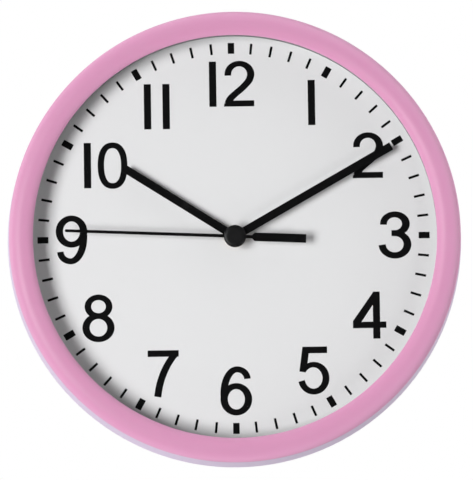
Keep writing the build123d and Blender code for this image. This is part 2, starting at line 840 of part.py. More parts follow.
# ================================================================ moving train
with BuildPart() as rotor_magnet:
    magnet_rear = stator_level + stator_thickness / 2 - magnet_thickness / 2
    disc(magnet_radius, magnet_rear, magnet_rear + magnet_thickness, rotor_at)
    disc(rotor_arbor_radius, magnet_rear, magnet_rear + magnet_thickness, rotor_at, Mode.SUBTRACT)
save(rotor_magnet, "rotor_magnet")

with BuildPart() as rotor_pinion:
    disc(rotor_arbor_radius, pivot_rear, plate_front, rotor_at)
    gear(running_module, rotor_teeth, fifth_level - pinion_overhang,
         fifth_level + gear_thickness + pinion_overhang, rotor_at, rotor_phase)
save(rotor_pinion, "rotor_pinion")

with BuildPart() as fifth_wheel:
    disc(train_arbor_radius, pivot_rear, plate_front, fifth_at)
    gear(running_module, fifth_teeth, fifth_level, fifth_level + gear_thickness,
         fifth_at, fifth_phase)
    gear(running_module, fifth_pinion_teeth, seconds_level - pinion_overhang,
         seconds_level + gear_thickness + pinion_overhang, fifth_at, fifth_pinion_phase)
save(fifth_wheel, "fifth_wheel")

with BuildPart() as third_wheel:
    disc(train_arbor_radius, pivot_rear, plate_front, third_at)
    gear(running_module, third_teeth, third_level, third_level + gear_thickness,
         third_at, third_phase)
    gear(minute_module, third_pinion_teeth, minute_level - pinion_overhang,
         minute_level + gear_thickness + pinion_overhang, third_at, third_pinion_phase)
save(third_wheel, "third_wheel")

with BuildPart() as seconds_arbor:
    disc(seconds_arbor_radius, pivot_rear, arbor_top)
save(seconds_arbor, "seconds_arbor")

with BuildPart() as seconds_wheel:
    gear(running_module, seconds_teeth, seconds_level, seconds_level + gear_thickness,
         centre, seconds_phase)
    gear(running_module, seconds_pinion_teeth, seconds_level + gear_thickness,
         third_level + gear_thickness + pinion_overhang, centre, seconds_pinion_phase)
    disc(seconds_arbor_radius, seconds_level, third_level + gear_thickness + pinion_overhang,
         mode=Mode.SUBTRACT)
save(seconds_wheel, "seconds_wheel")

with BuildPart() as minute_wheel:
    gear(minute_module, minute_teeth, minute_level, minute_level + gear_thickness,
         centre, minute_phase)
    disc(minute_tube_radius + running_gap, minute_level, minute_level + gear_thickness,
         mode=Mode.SUBTRACT)
save(minute_wheel, "minute_wheel")

clutch_base = minute_level - pinion_overhang - clutch_flange_thickness
with BuildPart() as minute_tube:
    disc(clutch_flange_radius, clutch_base, clutch_base + clutch_flange_thickness)
    disc(minute_tube_radius, clutch_base, minute_tube_top)
    gear(motion_module, cannon_teeth, motion_level - pinion_overhang,
         motion_level + gear_thickness + pinion_overhang, centre, cannon_phase)
    disc(seconds_arbor_radius + running_gap, clutch_base, minute_tube_top, mode=Mode.SUBTRACT)
save(minute_tube, "minute_tube")

with BuildPart() as motion_wheel:
    disc(motion_arbor_radius, plate_level, pivot_front, motion_at)
    gear(motion_module, motion_teeth, motion_level, motion_level + gear_thickness,
         motion_at, motion_phase)
    gear(hour_module, motion_pinion_teeth, motion_level + gear_thickness,
         hour_level + gear_thickness + pinion_overhang, motion_at, motion_pinion_phase)
save(motion_wheel, "motion_wheel")

with BuildPart() as hour_wheel:
    gear(hour_module, hour_teeth, hour_level, hour_level + gear_thickness, centre, hour_phase)
    disc(hour_tube_radius, hour_level, hour_tube_top)
    disc(minute_tube_radius + running_gap, hour_level, hour_tube_top, mode=Mode.SUBTRACT)
save(hour_wheel, "hour_wheel")

# ----------------------------------------------------------- setting knob
knob_front = movement_rear - knob_gap
with BuildPart() as setting_knob:
    disc(knob_radius, knob_front - knob_thickness, knob_front, setting_at)
    with BuildSketch(facing(knob_front - knob_thickness)):
        with Locations(setting_at):
            with PolarLocations(knob_radius, knob_notches):
                Circle(knob_notch_radius)
    extrude(amount=knob_thickness, mode=Mode.SUBTRACT)
    disc(setting_arbor_radius, knob_front, motion_level + gear_thickness + 2 * pinion_overhang,
         setting_at)
save(setting_knob, "setting_knob")

with BuildPart() as setting_pinion:
    gear(motion_module, setting_teeth, motion_level - pinion_overhang,
         motion_level + gear_thickness + pinion_overhang, setting_at, setting_phase)
    disc(setting_arbor_radius, motion_level - pinion_overhang,
         motion_level + gear_thickness + pinion_overhang, setting_at, Mode.SUBTRACT)
save(setting_pinion, "setting_pinion")

# ================================================================= hands
def collet(bore, base, top):
    """Turned collet with a flange under the hand, in the piece being built."""
    disc(bore + collet_wall, base, top)
    disc(bore + collet_flange_width, base, base + collet_flange)
    disc(bore, base, top, mode=Mode.SUBTRACT)


with BuildPart() as hour_collet:
    collet(hour_tube_radius, hour_collet_base, hour_tube_top)
save(hour_collet, "hour_collet")

with BuildPart() as hour_hand:
    hand_blank(hour_hand_length, hour_hand_width, hour_hand_eye, hour_hand_angle, hour_hand_level)
    disc(hour_tube_radius + collet_wall, hour_hand_level, hour_hand_level + hand_thickness,
         mode=Mode.SUBTRACT)
save(hour_hand, "hour_hand")

with BuildPart() as minute_collet:
    collet(minute_tube_radius, minute_collet_base, minute_tube_top)
save(minute_collet, "minute_collet")

with BuildPart() as minute_hand:
    hand_blank(minute_hand_length, minute_hand_width, minute_hand_eye, minute_hand_angle,
               minute_hand_level)
    disc(minute_tube_radius + collet_wall, minute_hand_level, minute_hand_level + hand_thickness,
         mode=Mode.SUBTRACT)
save(minute_hand, "minute_hand")

with BuildPart() as second_collet:
    collet(seconds_arbor_radius, second_collet_base, arbor_top)
save(second_collet, "second_collet")

# Second hand: a slim tapered pointer with a round tip, and a broad tail behind
# a narrow neck.
with BuildPart() as second_hand:
    with BuildSketch(facing(second_hand_level)) as second_outline:
        root_half = second_hand_root_width / 2
        tip_half = second_hand_tip_width / 2
        tail_half = tail_width / 2
        tip_start = second_hand_length - tip_half
        Polygon(
            (0, root_half),
            (tip_start, tip_half),
            (tip_start, -tip_half),
            (0, -root_half),
            (-tail_neck_length, -root_half),
            (-tail_neck_length, -tail_half + tail_shoulder),
            (-tail_neck_length - tail_shoulder, -tail_half),
            (-tail_length, -tail_half),
            (-tail_length, tail_half),
            (-tail_neck_length - tail_shoulder, tail_half),
            (-tail_neck_length, tail_half - tail_shoulder),
            (-tail_neck_length, root_half),
            rotation=90 - second_hand_angle,
            align=None,
        )
        with Locations(polar(tip_start, 90 - second_hand_angle)):
            Circle(tip_half)
        Circle(second_hand_eye)
        Circle(seconds_arbor_radius + collet_wall, mode=Mode.SUBTRACT)
    extrude(amount=second_hand_thickness)
save(second_hand, "second_hand")

with BuildPart() as hub_cap:
    with BuildSketch(PROFILE):
        with BuildLine():
            cap_side = cap_base + cap_rim_height
            cap_top = cap_base + cap_height
            Polyline((0, cap_top), (0, cap_base), (cap_radius, cap_base), (cap_radius, cap_side))
            EllipticalCenterArc(
                (cap_top_radius, cap_side), cap_radius - cap_top_radius, cap_top - cap_side
            )
            Line((cap_top_radius, cap_top), (0, cap_top))
        make_face()
    revolve(axis=Axis.Y)
    disc(seconds_arbor_radius + collet_wall, cap_base, arbor_top, mode=Mode.SUBTRACT)
save(hub_cap, "hub_cap")

# ================================================================= battery
with BuildPart() as battery:
    with BuildSketch(Plane.YZ.offset(-battery_length / 2)):
        with Locations((-battery_depth, battery_height)):
            Circle(battery_radius)
    extrude(amount=battery_length - terminal_height)
    fillet(battery.edges().filter_by(GeomType.CIRCLE), radius=battery_edge)
save(battery, "battery")

with BuildPart() as battery_terminal:
    with BuildSketch(Plane.YZ.offset(battery_length / 2 - terminal_height)):
        with Locations((-battery_depth, battery_height)):
            Circle(terminal_radius)
    extrude(amount=terminal_height)
save(battery_terminal, "battery_terminal")
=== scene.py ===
from math import acos, atan2, cos, degrees, hypot, pi, radians, sin, tan

import bmesh
import bpy
from bpy.props import FloatProperty, FloatVectorProperty, PointerProperty
from mathutils import Matrix, Vector
from mathutils.geometry import delaunay_2d_cdt


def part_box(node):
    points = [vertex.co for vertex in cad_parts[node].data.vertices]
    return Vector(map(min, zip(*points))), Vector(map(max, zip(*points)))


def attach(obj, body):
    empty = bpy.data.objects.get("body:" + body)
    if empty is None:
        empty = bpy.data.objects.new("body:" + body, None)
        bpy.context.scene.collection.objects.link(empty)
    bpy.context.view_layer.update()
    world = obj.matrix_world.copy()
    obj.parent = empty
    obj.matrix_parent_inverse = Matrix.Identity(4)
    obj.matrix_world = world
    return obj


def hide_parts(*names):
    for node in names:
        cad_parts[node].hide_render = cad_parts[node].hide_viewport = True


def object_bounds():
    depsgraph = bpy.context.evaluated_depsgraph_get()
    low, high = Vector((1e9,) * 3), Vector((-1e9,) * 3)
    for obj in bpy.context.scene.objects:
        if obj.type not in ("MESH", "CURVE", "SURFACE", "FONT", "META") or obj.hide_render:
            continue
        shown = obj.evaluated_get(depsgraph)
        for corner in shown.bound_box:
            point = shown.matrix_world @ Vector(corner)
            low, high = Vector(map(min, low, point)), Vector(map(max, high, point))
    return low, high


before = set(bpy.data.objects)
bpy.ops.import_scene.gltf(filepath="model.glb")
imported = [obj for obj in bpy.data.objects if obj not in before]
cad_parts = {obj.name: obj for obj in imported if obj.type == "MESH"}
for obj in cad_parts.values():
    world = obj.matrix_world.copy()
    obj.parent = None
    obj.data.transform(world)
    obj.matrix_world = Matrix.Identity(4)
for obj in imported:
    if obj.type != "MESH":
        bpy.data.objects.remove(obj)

bl_info = {
    "name": "Round Wall Clock",
    "version": (1, 0, 0),
    "blender": (4, 5, 0),
    "location": "3D View > Sidebar > Wall Clock",
    "description": "Dresses the wall clock: case, glass, dial, hands, movement and a plain stage",
    "category": "Add Mesh",
}

CAD_BOX = [list(corner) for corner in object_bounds()]
MM = 0.001
AROUND = 384            # steps round the bezel, glass, spacer and dial
JOIN = 0.0001 * MM      # points nearer than this are one
CREASE = 32             # faces that meet at more degrees than this keep a hard edge
BRASS_CREASE = 40       # the same for small brass fittings
FLAT_CREASE = 8         # the same for broad flat faces, which then stay truly flat
SCREWS = 6
FIRST_SCREW = 30        # degrees from 3 o'clock
SCREW_HEAD = 2.0 * MM   # radius of a screw's head
TICKS = 60
TICKS_AN_HOUR = 5
GREY = (0.5, 0.5, 0.5, 1.0)


# ==================================================================== measures
def reach(name):
    """Left, right, rear, front, bottom and top of a node. Depth is measured out from the wall."""
    low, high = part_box(name)
    return low.x, high.x, -high.y, -low.y, low.z, high.z


def spot(x, depth, z):
    """A point from its place across the dial and its depth from the wall."""
    return Vector((x, -depth, z))


def paint(red, green, blue):
    """Linear colour from the 0 to 255 values on a paint chart."""
    def linear(value):
        value /= 255
        return value / 12.92 if value <= 0.04045 else ((value + 0.055) / 1.055) ** 2.4

    return linear(red), linear(green), linear(blue), 1.0


def length(label, description, default):
    """A size in metres that a user may change."""
    return FloatProperty(name=label, description=description, default=default, min=0.0,
                         unit="LENGTH", subtype="DISTANCE", precision=5)


def colour(label, description, default):
    """A colour that a user may change."""
    return FloatVectorProperty(name=label, description=description, default=default, size=4,
                               min=0.0, max=1.0, subtype="COLOR")


def strength(label, description, default, unit="NONE"):
    """How strong a light is."""
    return FloatProperty(name=label, description=description, default=default, min=0.0, unit=unit)


# ================================================================== properties
class ClockSizes(bpy.types.PropertyGroup):
    """Sizes and lights of the dressed clock."""

    crown_radius: length("Crown radius", "Radius of the bezel's round front", 7.4 * MM)
    lip_thickness: length("Lip thickness", "Edge of the bezel over the glass", 0.9 * MM)
    lip_overlap: length("Lip overlap", "How far the bezel covers the glass", 3.2 * MM)
    bezel_wall: length("Bezel wall", "Thickness of the bezel's skirt", 1.7 * MM)
    case_edge: length("Case edge", "Rounding of the rear case's edges", 0.3 * MM)
    movement_edge: length("Movement edge", "Rounding of the movement's edges", 0.2 * MM)
    fine_edge: length("Fine edge", "Rounding of the movement's cover and small pieces", 0.12 * MM)
    hand_edge: length("Hand edge", "Rounding of the stamped hands", 0.06 * MM)
    tick_outer: length("Tick outer radius", "Where the dial's ticks end", 108.85 * MM)
    hour_tick_length: length("Hour tick length", "Length of the hour ticks", 6.1 * MM)
    hour_tick_width: length("Hour tick width", "Width of the hour ticks", 3.58 * MM)
    minute_tick_length: length("Minute tick length", "Length of the minute ticks", 6.1 * MM)
    minute_tick_width: length("Minute tick width", "Width of the minute ticks", 1.36 * MM)
    tick_corner: length("Tick corner", "Corner radius of the printed ticks", 0.18 * MM)
    print_height: length("Print height", "Thickness of the printed ink", 0.03 * MM)
    print_aside: length("Print aside", "How far left of the arbor the print's middle is", 0.7 * MM)
    print_below: length("Print below", "How far below the arbor the print's middle is", 0.3 * MM)
    ink_spread: length("Ink spread", "How far the ink spreads past a numeral's edge", 0.08 * MM)
    thread_pitch: length("Screw pitch", "Pitch of the case screws' thread", 0.8 * MM)
    wire_pitch: length("Wire pitch", "Distance between the coil's turns of wire", 0.2 * MM)
    floor_drop: length("Floor drop", "How far the floor lies under the clock", 2.6)
    key_power: strength("Key light", "Power of the large soft light at the left", 868.0, "POWER")
    low_power: strength("Low light", "Power of the weak light at the lower right", 72.0, "POWER")
    front_fill: strength("Front fill", "Light that the room gives from the front", 0.01)
    side_fill: strength("Side fill", "Light of the white board at the right", 2.6)
    rear_fill: strength("Rear fill", "Light that the white backdrop gives from behind", 1.25)
    rear_gloss: strength("Rear gloss", "How bright the backdrop shows in gloss", 0.35)
    left_gloss: strength("Left gloss", "How bright the screen at the left shows in gloss", 2.0)
    front_gloss: strength("Front gloss", "How bright the room in front shows in gloss", 0.015)


class ClockColours(bpy.types.PropertyGroup):
    """Colours of the dressed clock."""

    bezel: colour("Bezel", "Moulded plastic of the bezel", paint(226, 162, 198))
    case: colour("Rear case", "Moulded plastic of the rear case", paint(218, 202, 225))
    dial: colour("Dial", "Coated card of the dial", paint(236, 236, 237))
    # The spacer's dark grey is partly painted shade: it keeps the ring from throwing light onto the
    # dial's rim.
    spacer: colour("Spacer ring", "Ring between the dial and the glass", paint(112, 114, 114))
    ink: colour("Ink", "Printed numerals and ticks", paint(9, 9, 10))
    hands: colour("Hands", "Paint of the three hands", paint(6, 6, 7))
    cap: colour("Hub cap", "Moulded cap over the hands", paint(15, 15, 16))
    movement: colour("Movement", "Moulded case of the movement", paint(38, 38, 41))
    knob: colour("Setting knob", "Knob behind the movement", paint(158, 160, 164))
    jacket: colour("Battery jacket", "Printed sleeve of the cell", paint(34, 66, 92))
    jacket_band: colour("Battery band", "Band at the cell's positive end", paint(196, 160, 92))
    floor: colour("Floor", "Plain floor under the clock", paint(205, 205, 205))


# ============================================================ meshes and pieces
def collection():
    """The collection that holds the dressed clock."""
    home = bpy.data.collections.get("Wall clock")
    if home is None:
        home = bpy.data.collections.new("Wall clock")
        bpy.context.scene.collection.children.link(home)
    return home


def add_piece(name, mesh, finish, body, replaces=()):
    """Puts a finished mesh in the scene as a piece that rides on a body."""
    old = bpy.data.objects.get(name)
    if old is not None:
        bpy.data.objects.remove(old)
    if len(mesh.polygons) == 0:
        raise RuntimeError(f"{name} has no faces")
    piece = bpy.data.objects.new(name, mesh)
    collection().objects.link(piece)
    mesh.materials.clear()
    mesh.materials.append(finish)
    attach(piece, body)
    if replaces:
        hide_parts(*replaces)


def smooth(mesh, angle=CREASE):
    """Smooth shading with hard edges only where faces meet at more than the angle."""
    for face in mesh.polygons:
        face.use_smooth = True
    mesh.set_sharp_from_angle(angle=radians(angle))


def mesh_of(shape, name, angle=CREASE):
    """Turns a bmesh into a mesh with its doubles merged and its faces outwards."""
    bmesh.ops.remove_doubles(shape, verts=shape.verts, dist=JOIN)
    bmesh.ops.recalc_face_normals(shape, faces=shape.faces)
    mesh = bpy.data.meshes.new(name)
    shape.to_mesh(mesh)
    shape.free()
    smooth(mesh, angle)
    return mesh


def rounded(corners, steps=4):
    """A closed outline with its corners rounded. Each corner is (x, y, radius)."""
    outline = []
    for index, (x, y, radius) in enumerate(corners):
        if radius == 0:
            outline.append((x, y))
            continue
        here = Vector((x, y))
        way_in = (Vector(corners[index - 1][:2]) - here).normalized()
        way_out = (Vector(corners[(index + 1) % len(corners)][:2]) - here).normalized()
        half = way_in.angle(way_out) / 2
        middle = here + (way_in + way_out).normalized() * radius / sin(half)
        start = here + way_in * radius / tan(half) - middle
        end = here + way_out * radius / tan(half) - middle
        first = atan2(start.y, start.x)
        sweep = (atan2(end.y, end.x) - first + pi) % (2 * pi) - pi
        for step in range(steps + 1):
            turn = first + sweep * step / steps
            outline.append((middle.x + radius * cos(turn), middle.y + radius * sin(turn)))
    return outline


def arc(middle, radii, start, end, steps):
    """Points of an elliptical arc, with its angles in degrees."""
    points = []
    for step in range(steps + 1):
        turn = radians(start + (end - start) * step / steps)
        points.append((middle[0] + radii[0] * cos(turn), middle[1] + radii[1] * sin(turn)))
    return points


def around_depth(radius, depth, turn):
    """A point at a radius round the clock's own axis, which points away from the wall."""
    return spot(radius * cos(turn), depth, radius * sin(turn))


def standing_at(x, z):
    """A place function for what is turned round an axis that points away from the wall."""
    def place(radius, depth, turn):
        return spot(x, 0.0, z) + around_depth(radius, depth, turn)

    return place


def lying_along(depth, height):
    """A place function for what is turned round a level axis that runs from left to right."""
    def place(radius, along, turn):
        return spot(along, depth + radius * cos(turn), height + radius * sin(turn))

    return place


def turn_profile(shape, profile, place, steps):
    """Turns a closed profile of (radius, place along the axis) into a closed skin."""
    rings = []
    for radius, along in profile:
        if radius < JOIN:
            rings.append([shape.verts.new(place(0.0, along, 0.0))])
        else:
            rings.append([shape.verts.new(place(radius, along, 2 * pi * step / steps))
                          for step in range(steps)])
    for index, ring in enumerate(rings):
        after = rings[(index + 1) % len(rings)]
        if len(ring) == 1 and len(after) == 1:
            continue
        for step in range(steps):
            beside = (step + 1) % steps
            if len(ring) == 1:
                corners = (ring[0], after[beside], after[step])
            elif len(after) == 1:
                corners = (ring[step], ring[beside], after[0])
            else:
                corners = (ring[step], ring[beside], after[beside], after[step])
            shape.faces.new(corners)


def turned(name, profile, steps=AROUND, place=around_depth, angle=CREASE):
    """A mesh turned from a closed profile."""
    shape = bmesh.new()
    turn_profile(shape, profile, place, steps)
    return mesh_of(shape, name, angle)


def softened(name, node, edge, angle=28):
    """A copy of a node with its loose triangles merged and its hard edges rounded off."""
    loose, level = 0.001 * MM, radians(0.6)
    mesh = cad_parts[node].data.copy()
    mesh.name = name
    shape = bmesh.new()
    shape.from_mesh(mesh)
    bmesh.ops.remove_doubles(shape, verts=shape.verts, dist=loose)
    bmesh.ops.dissolve_limit(shape, angle_limit=level, use_dissolve_boundaries=False,
                             verts=shape.verts, edges=shape.edges, delimit=set())
    shape.to_mesh(mesh)
    shape.free()
    for face in mesh.polygons:
        face.use_smooth = True
        face.material_index = 0
    mesh.materials.clear()
    carrier = bpy.data.objects.new(name + "_soft", mesh)
    bpy.context.scene.collection.objects.link(carrier)
    bevel = carrier.modifiers.new("Edge", "BEVEL")
    bevel.width = edge
    bevel.segments = 2
    bevel.limit_method = "ANGLE"
    bevel.angle_limit = radians(angle)
    bevel.miter_outer = "MITER_ARC"
    bevel.use_clamp_overlap = True
    normals = carrier.modifiers.new("Normals", "WEIGHTED_NORMAL")
    normals.keep_sharp = True
    normals.weight = 100
    graph = bpy.context.evaluated_depsgraph_get()
    soft = bpy.data.meshes.new_from_object(carrier.evaluated_get(graph), depsgraph=graph)
    soft.name = name
    bpy.data.objects.remove(carrier)
    bpy.data.meshes.remove(mesh)
    return soft


# ======================================================================= nodes
def fill_socket(tree, socket, value):
    """Links a socket to another one, or gives it a plain value."""
    if isinstance(value, bpy.types.NodeSocket):
        tree.links.new(value, socket)
    else:
        socket.default_value = value


def add_node(tree, kind, settings=None, inputs=None):
    """Adds a node, sets its own settings, and fills or links its inputs by name or number."""
    made = tree.nodes.new(kind)
    for key, value in (settings or {}).items():
        setattr(made, key, value)
    for key, value in (inputs or {}).items():
        fill_socket(tree, made.inputs[key], value)
    return made


def reckoned(tree, operation, *values):
    """The result of a Math node."""
    return add_node(tree, "ShaderNodeMath", {"operation": operation},
                    dict(enumerate(values))).outputs[0]


def swayed(tree, pattern, amount, level):
    """A level that a pattern raises and lowers by an amount."""
    return reckoned(tree, "ADD", reckoned(tree, "MULTIPLY", pattern, amount), level)


def ramp(tree, value, low, high, at_low=0.0, at_high=1.0, ease="LINEAR"):
    """A value carried from one span to another and held at its ends."""
    return add_node(tree, "ShaderNodeMapRange", {"interpolation_type": ease}, {
        "Value": value, "From Min": low, "From Max": high, "To Min": at_low, "To Max": at_high,
    }).outputs[0]


def noise(tree, where, scale, detail, roughness=0.5):
    """A cloudy pattern from 0 to 1."""
    return add_node(tree, "ShaderNodeTexNoise", inputs={
        "Vector": where, "Scale": scale, "Detail": detail, "Roughness": roughness,
    }).outputs["Fac"]


def blended(tree, factor, first, second, kind="RGBA"):
    """A mix of two colours, or of two plain values with the kind FLOAT."""
    at, result = {"RGBA": ((0, 6, 7), 2), "FLOAT": ((0, 2, 3), 0)}[kind]
    return add_node(tree, "ShaderNodeMix", {"data_type": kind},
                    dict(zip(at, (factor, first, second)))).outputs[result]


# ============================================================== geometry trees
def geometry_tree(name, sizes):
    """A new geometry tree with a named input for each size, and its input node."""
    tree = bpy.data.node_groups.new(name, "GeometryNodeTree")
    for label, kind, value in sizes:
        socket = tree.interface.new_socket(label, in_out="INPUT", socket_type=kind)
        if value is not None:
            socket.default_value = value
    tree.interface.new_socket("Geometry", in_out="OUTPUT", socket_type="NodeSocketGeometry")
    return tree, tree.nodes.new("NodeGroupInput")


def close_tree(tree, geometry, finish):
    """Ends a tree in Realize Instances and Set Material."""
    real = add_node(tree, "GeometryNodeRealizeInstances", inputs={"Geometry": geometry})
    dressed = add_node(tree, "GeometryNodeSetMaterial",
                       inputs={"Geometry": real.outputs[0], "Material": finish})
    end = tree.nodes.new("NodeGroupOutput")
    tree.links.new(dressed.outputs[0], end.inputs[0])


def face_front(tree, geometry, level, aside=0.0, below=0.0):
    """Stands a flat arrangement up to face the front at a depth from the wall."""
    across = add_node(tree, "ShaderNodeCombineXYZ", inputs={
        axis: reckoned(tree, "MULTIPLY", value, -1.0)
        for axis, value in (("X", aside), ("Y", level), ("Z", below))})
    return add_node(tree, "GeometryNodeTransform", inputs={
        "Geometry": geometry,
        "Translation": across.outputs[0],
        "Rotation": (pi / 2, 0.0, 0.0),
    }).outputs[0]


def grown(name, tree, values):
    """The plain mesh that a geometry tree gives for these values of its inputs."""
    carrier = bpy.data.objects.new(name + "_growing", bpy.data.meshes.new(name + "_seed"))
    bpy.context.scene.collection.objects.link(carrier)
    modifier = carrier.modifiers.new("Tree", "NODES")
    modifier.node_group = tree
    for item in tree.interface.items_tree:
        if item.item_type == "SOCKET" and item.in_out == "INPUT" and item.name in values:
            modifier[item.identifier] = values[item.name]
    graph = bpy.context.evaluated_depsgraph_get()
    mesh = bpy.data.meshes.new_from_object(carrier.evaluated_get(graph), depsgraph=graph)
    carrier.modifiers.remove(modifier)
    bpy.data.objects.remove(carrier)
    shape = bmesh.new()
    shape.from_mesh(mesh)
    bmesh.ops.remove_doubles(shape, verts=shape.verts, dist=JOIN)
    bmesh.ops.recalc_face_normals(shape, faces=shape.faces)
    shape.to_mesh(mesh)
    shape.free()
    mesh.name = name
    smooth(mesh)
    return mesh


# =============================================================== shader groups
def shader_group(name, inputs, outputs):
    """A new shader node group with named sockets, and its input and output nodes."""
    tree = bpy.data.node_groups.new(name, "ShaderNodeTree")
    for label, kind, value in inputs:
        tree.interface.new_socket(label, in_out="INPUT", socket_type=kind).default_value = value
    for label, kind in outputs:
        tree.interface.new_socket(label, in_out="OUTPUT", socket_type=kind)
    return tree, tree.nodes.new("NodeGroupInput"), tree.nodes.new("NodeGroupOutput")


def place_on_piece(tree, scale=(1.0, 1.0, 1.0), rotation=(0.0, 0.0, 0.0)):
    """Object coordinates, turned and scaled for a pattern."""
    source = tree.nodes.new("ShaderNodeTexCoord")
    return add_node(tree, "ShaderNodeMapping", inputs={
        "Vector": source.outputs["Object"], "Scale": scale, "Rotation": rotation,
    }).outputs[0]


def tinted(tree, base, factor):
    """A colour made lighter or darker by a factor that varies over the surface."""
    return add_node(tree, "ShaderNodeVectorMath", {"operation": "SCALE"},
                    {0: base, "Scale": factor}).outputs[0]


def relief(tree, height, depth):
    """The normal of a surface that a pattern raises by up to a depth."""
    return add_node(tree, "ShaderNodeBump", inputs={
        "Height": height, "Distance": depth, "Strength": 1.0,
    }).outputs[0]


def moulded_group():
    """Moulded plastic: slow changes of shade and the fine texture of the mould."""
    name = "Moulded surface"
    if name in bpy.data.node_groups:
        return bpy.data.node_groups[name]
    tree, source, end = shader_group(name, (
        ("Colour", "NodeSocketColor", GREY),
        ("Shade change", "NodeSocketFloat", 0.04),
        ("Patch scale", "NodeSocketFloat", 30.0),
        ("Grain scale", "NodeSocketFloat", 2500.0),
        ("Grain depth", "NodeSocketFloat", 0.00002),
        ("Roughness", "NodeSocketFloat", 0.4),
        ("Roughness change", "NodeSocketFloat", 0.1),
    ), (("Colour", "NodeSocketColor"), ("Roughness", "NodeSocketFloat"),
        ("Normal", "NodeSocketVector")))
    given = source.outputs
    where = place_on_piece(tree)
    patch = reckoned(tree, "SUBTRACT", noise(tree, where, given["Patch scale"], 3.0, 0.55), 0.5)
    grain = noise(tree, where, given["Grain scale"], 2.0)
    shade = swayed(tree, patch, given["Shade change"], 1.0)
    slow = swayed(tree, patch, given["Roughness change"], given["Roughness"])
    rough = swayed(tree, reckoned(tree, "SUBTRACT", grain, 0.5), given["Roughness change"], slow)
    tree.links.new(tinted(tree, given["Colour"], shade), end.inputs["Colour"])
    tree.links.new(rough, end.inputs["Roughness"])
    tree.links.new(relief(tree, grain, given["Grain depth"]), end.inputs["Normal"])
    return tree


def scuff_group():
    """Fine handling scratches and rubbed patches on an exposed surface."""
    name = "Handling scuffs"
    if name in bpy.data.node_groups:
        return bpy.data.node_groups[name]
    tree, source, end = shader_group(name, (
        ("Colour", "NodeSocketColor", GREY),
        ("Scuff colour", "NodeSocketColor", (0.8, 0.8, 0.8, 1.0)),
        ("Amount", "NodeSocketFloat", 0.2),
        ("Scratch scale", "NodeSocketFloat", 120.0),
        ("Roughness", "NodeSocketFloat", 0.4),
    ), (("Colour", "NodeSocketColor"), ("Roughness", "NodeSocketFloat")))
    given = source.outputs
    long_and_thin, dulling = (1.0, 14.0, 1.0), 0.35
    scratches = [
        ramp(tree, noise(tree, place_on_piece(tree, long_and_thin, rotation),
                         given["Scratch scale"], 2.0), 0.66, 0.74)
        for rotation in ((0.3, 0.5, 0.7), (1.1, 2.0, 2.6))]
    rubbed = ramp(tree, noise(tree, place_on_piece(tree), 28.0, 3.0), 0.48, 0.62)
    lines = reckoned(tree, "MULTIPLY", reckoned(tree, "MAXIMUM", *scratches), rubbed)
    mask = reckoned(tree, "MULTIPLY", lines, given["Amount"])
    worn = blended(tree, mask, given["Colour"], given["Scuff colour"])
    tree.links.new(worn, end.inputs["Colour"])
    tree.links.new(swayed(tree, mask, dulling, given["Roughness"]), end.inputs["Roughness"])
    return tree


def dust_group():
    """A thin film of dust where a surface looks up, and in slow patches elsewhere."""
    name = "Settled dust"
    if name in bpy.data.node_groups:
        return bpy.data.node_groups[name]
    tree, source, end = shader_group(name, (
        ("Colour", "NodeSocketColor", GREY),
        ("Dust colour", "NodeSocketColor", paint(206, 202, 196)),
        ("Amount", "NodeSocketFloat", 0.15),
        ("Roughness", "NodeSocketFloat", 0.4),
    ), (("Colour", "NodeSocketColor"), ("Roughness", "NodeSocketFloat")))
    given = source.outputs
    on_steep_sides, dulling = 0.12, 0.5
    facing = tree.nodes.new("ShaderNodeTexCoord")
    upward = add_node(tree, "ShaderNodeSeparateXYZ", inputs={"Vector": facing.outputs["Normal"]})
    settled = ramp(tree, upward.outputs["Z"], 0.1, 0.9, on_steep_sides, 1.0)
    thick = ramp(tree, noise(tree, place_on_piece(tree), 140.0, 6.0, 0.7), 0.35, 0.7)
    mask = reckoned(tree, "MULTIPLY", reckoned(tree, "MULTIPLY", settled, thick), given["Amount"])
    dusty = blended(tree, mask, given["Colour"], given["Dust colour"])
    tree.links.new(dusty, end.inputs["Colour"])
    tree.links.new(swayed(tree, mask, dulling, given["Roughness"]), end.inputs["Roughness"])
    return tree


def machined_group():
    """Metal with fine drawn or rolled lines that run one way."""
    name = "Drawn metal"
    if name in bpy.data.node_groups:
        return bpy.data.node_groups[name]
    tree, source, end = shader_group(name, (
        ("Colour", "NodeSocketColor", GREY),
        ("Shade change", "NodeSocketFloat", 0.15),
        ("Line stretch", "NodeSocketVector", (1.0, 30.0, 30.0)),
        ("Line scale", "NodeSocketFloat", 120.0),
        ("Line depth", "NodeSocketFloat", 0.00001),
        ("Roughness", "NodeSocketFloat", 0.3),
        ("Roughness change", "NodeSocketFloat", 0.2),
    ), (("Colour", "NodeSocketColor"), ("Roughness", "NodeSocketFloat"),
        ("Normal", "NodeSocketVector")))
    given = source.outputs
    place = tree.nodes.new("ShaderNodeTexCoord")
    stretched = add_node(tree, "ShaderNodeVectorMath", {"operation": "MULTIPLY"},
                         {0: place.outputs["Object"], 1: given["Line stretch"]}).outputs[0]
    lines = noise(tree, stretched, given["Line scale"], 4.0, 0.6)
    centred = reckoned(tree, "SUBTRACT", lines, 0.5)
    shade = swayed(tree, centred, given["Shade change"], 1.0)
    rough = swayed(tree, centred, given["Roughness change"], given["Roughness"])
    tree.links.new(tinted(tree, given["Colour"], shade), end.inputs["Colour"])
    tree.links.new(rough, end.inputs["Roughness"])
    tree.links.new(relief(tree, lines, given["Line depth"]), end.inputs["Normal"])
    return tree


# =================================================================== finishes
def new_finish(name, constants):
    """A material with its Principled shader, whose plain values are set on its own sockets."""
    finish = bpy.data.materials.new(name)
    finish.use_nodes = True
    shader = finish.node_tree.nodes["Principled BSDF"]
    for socket, value in constants.items():
        shader.inputs[socket].default_value = value
    return finish, finish.node_tree, shader


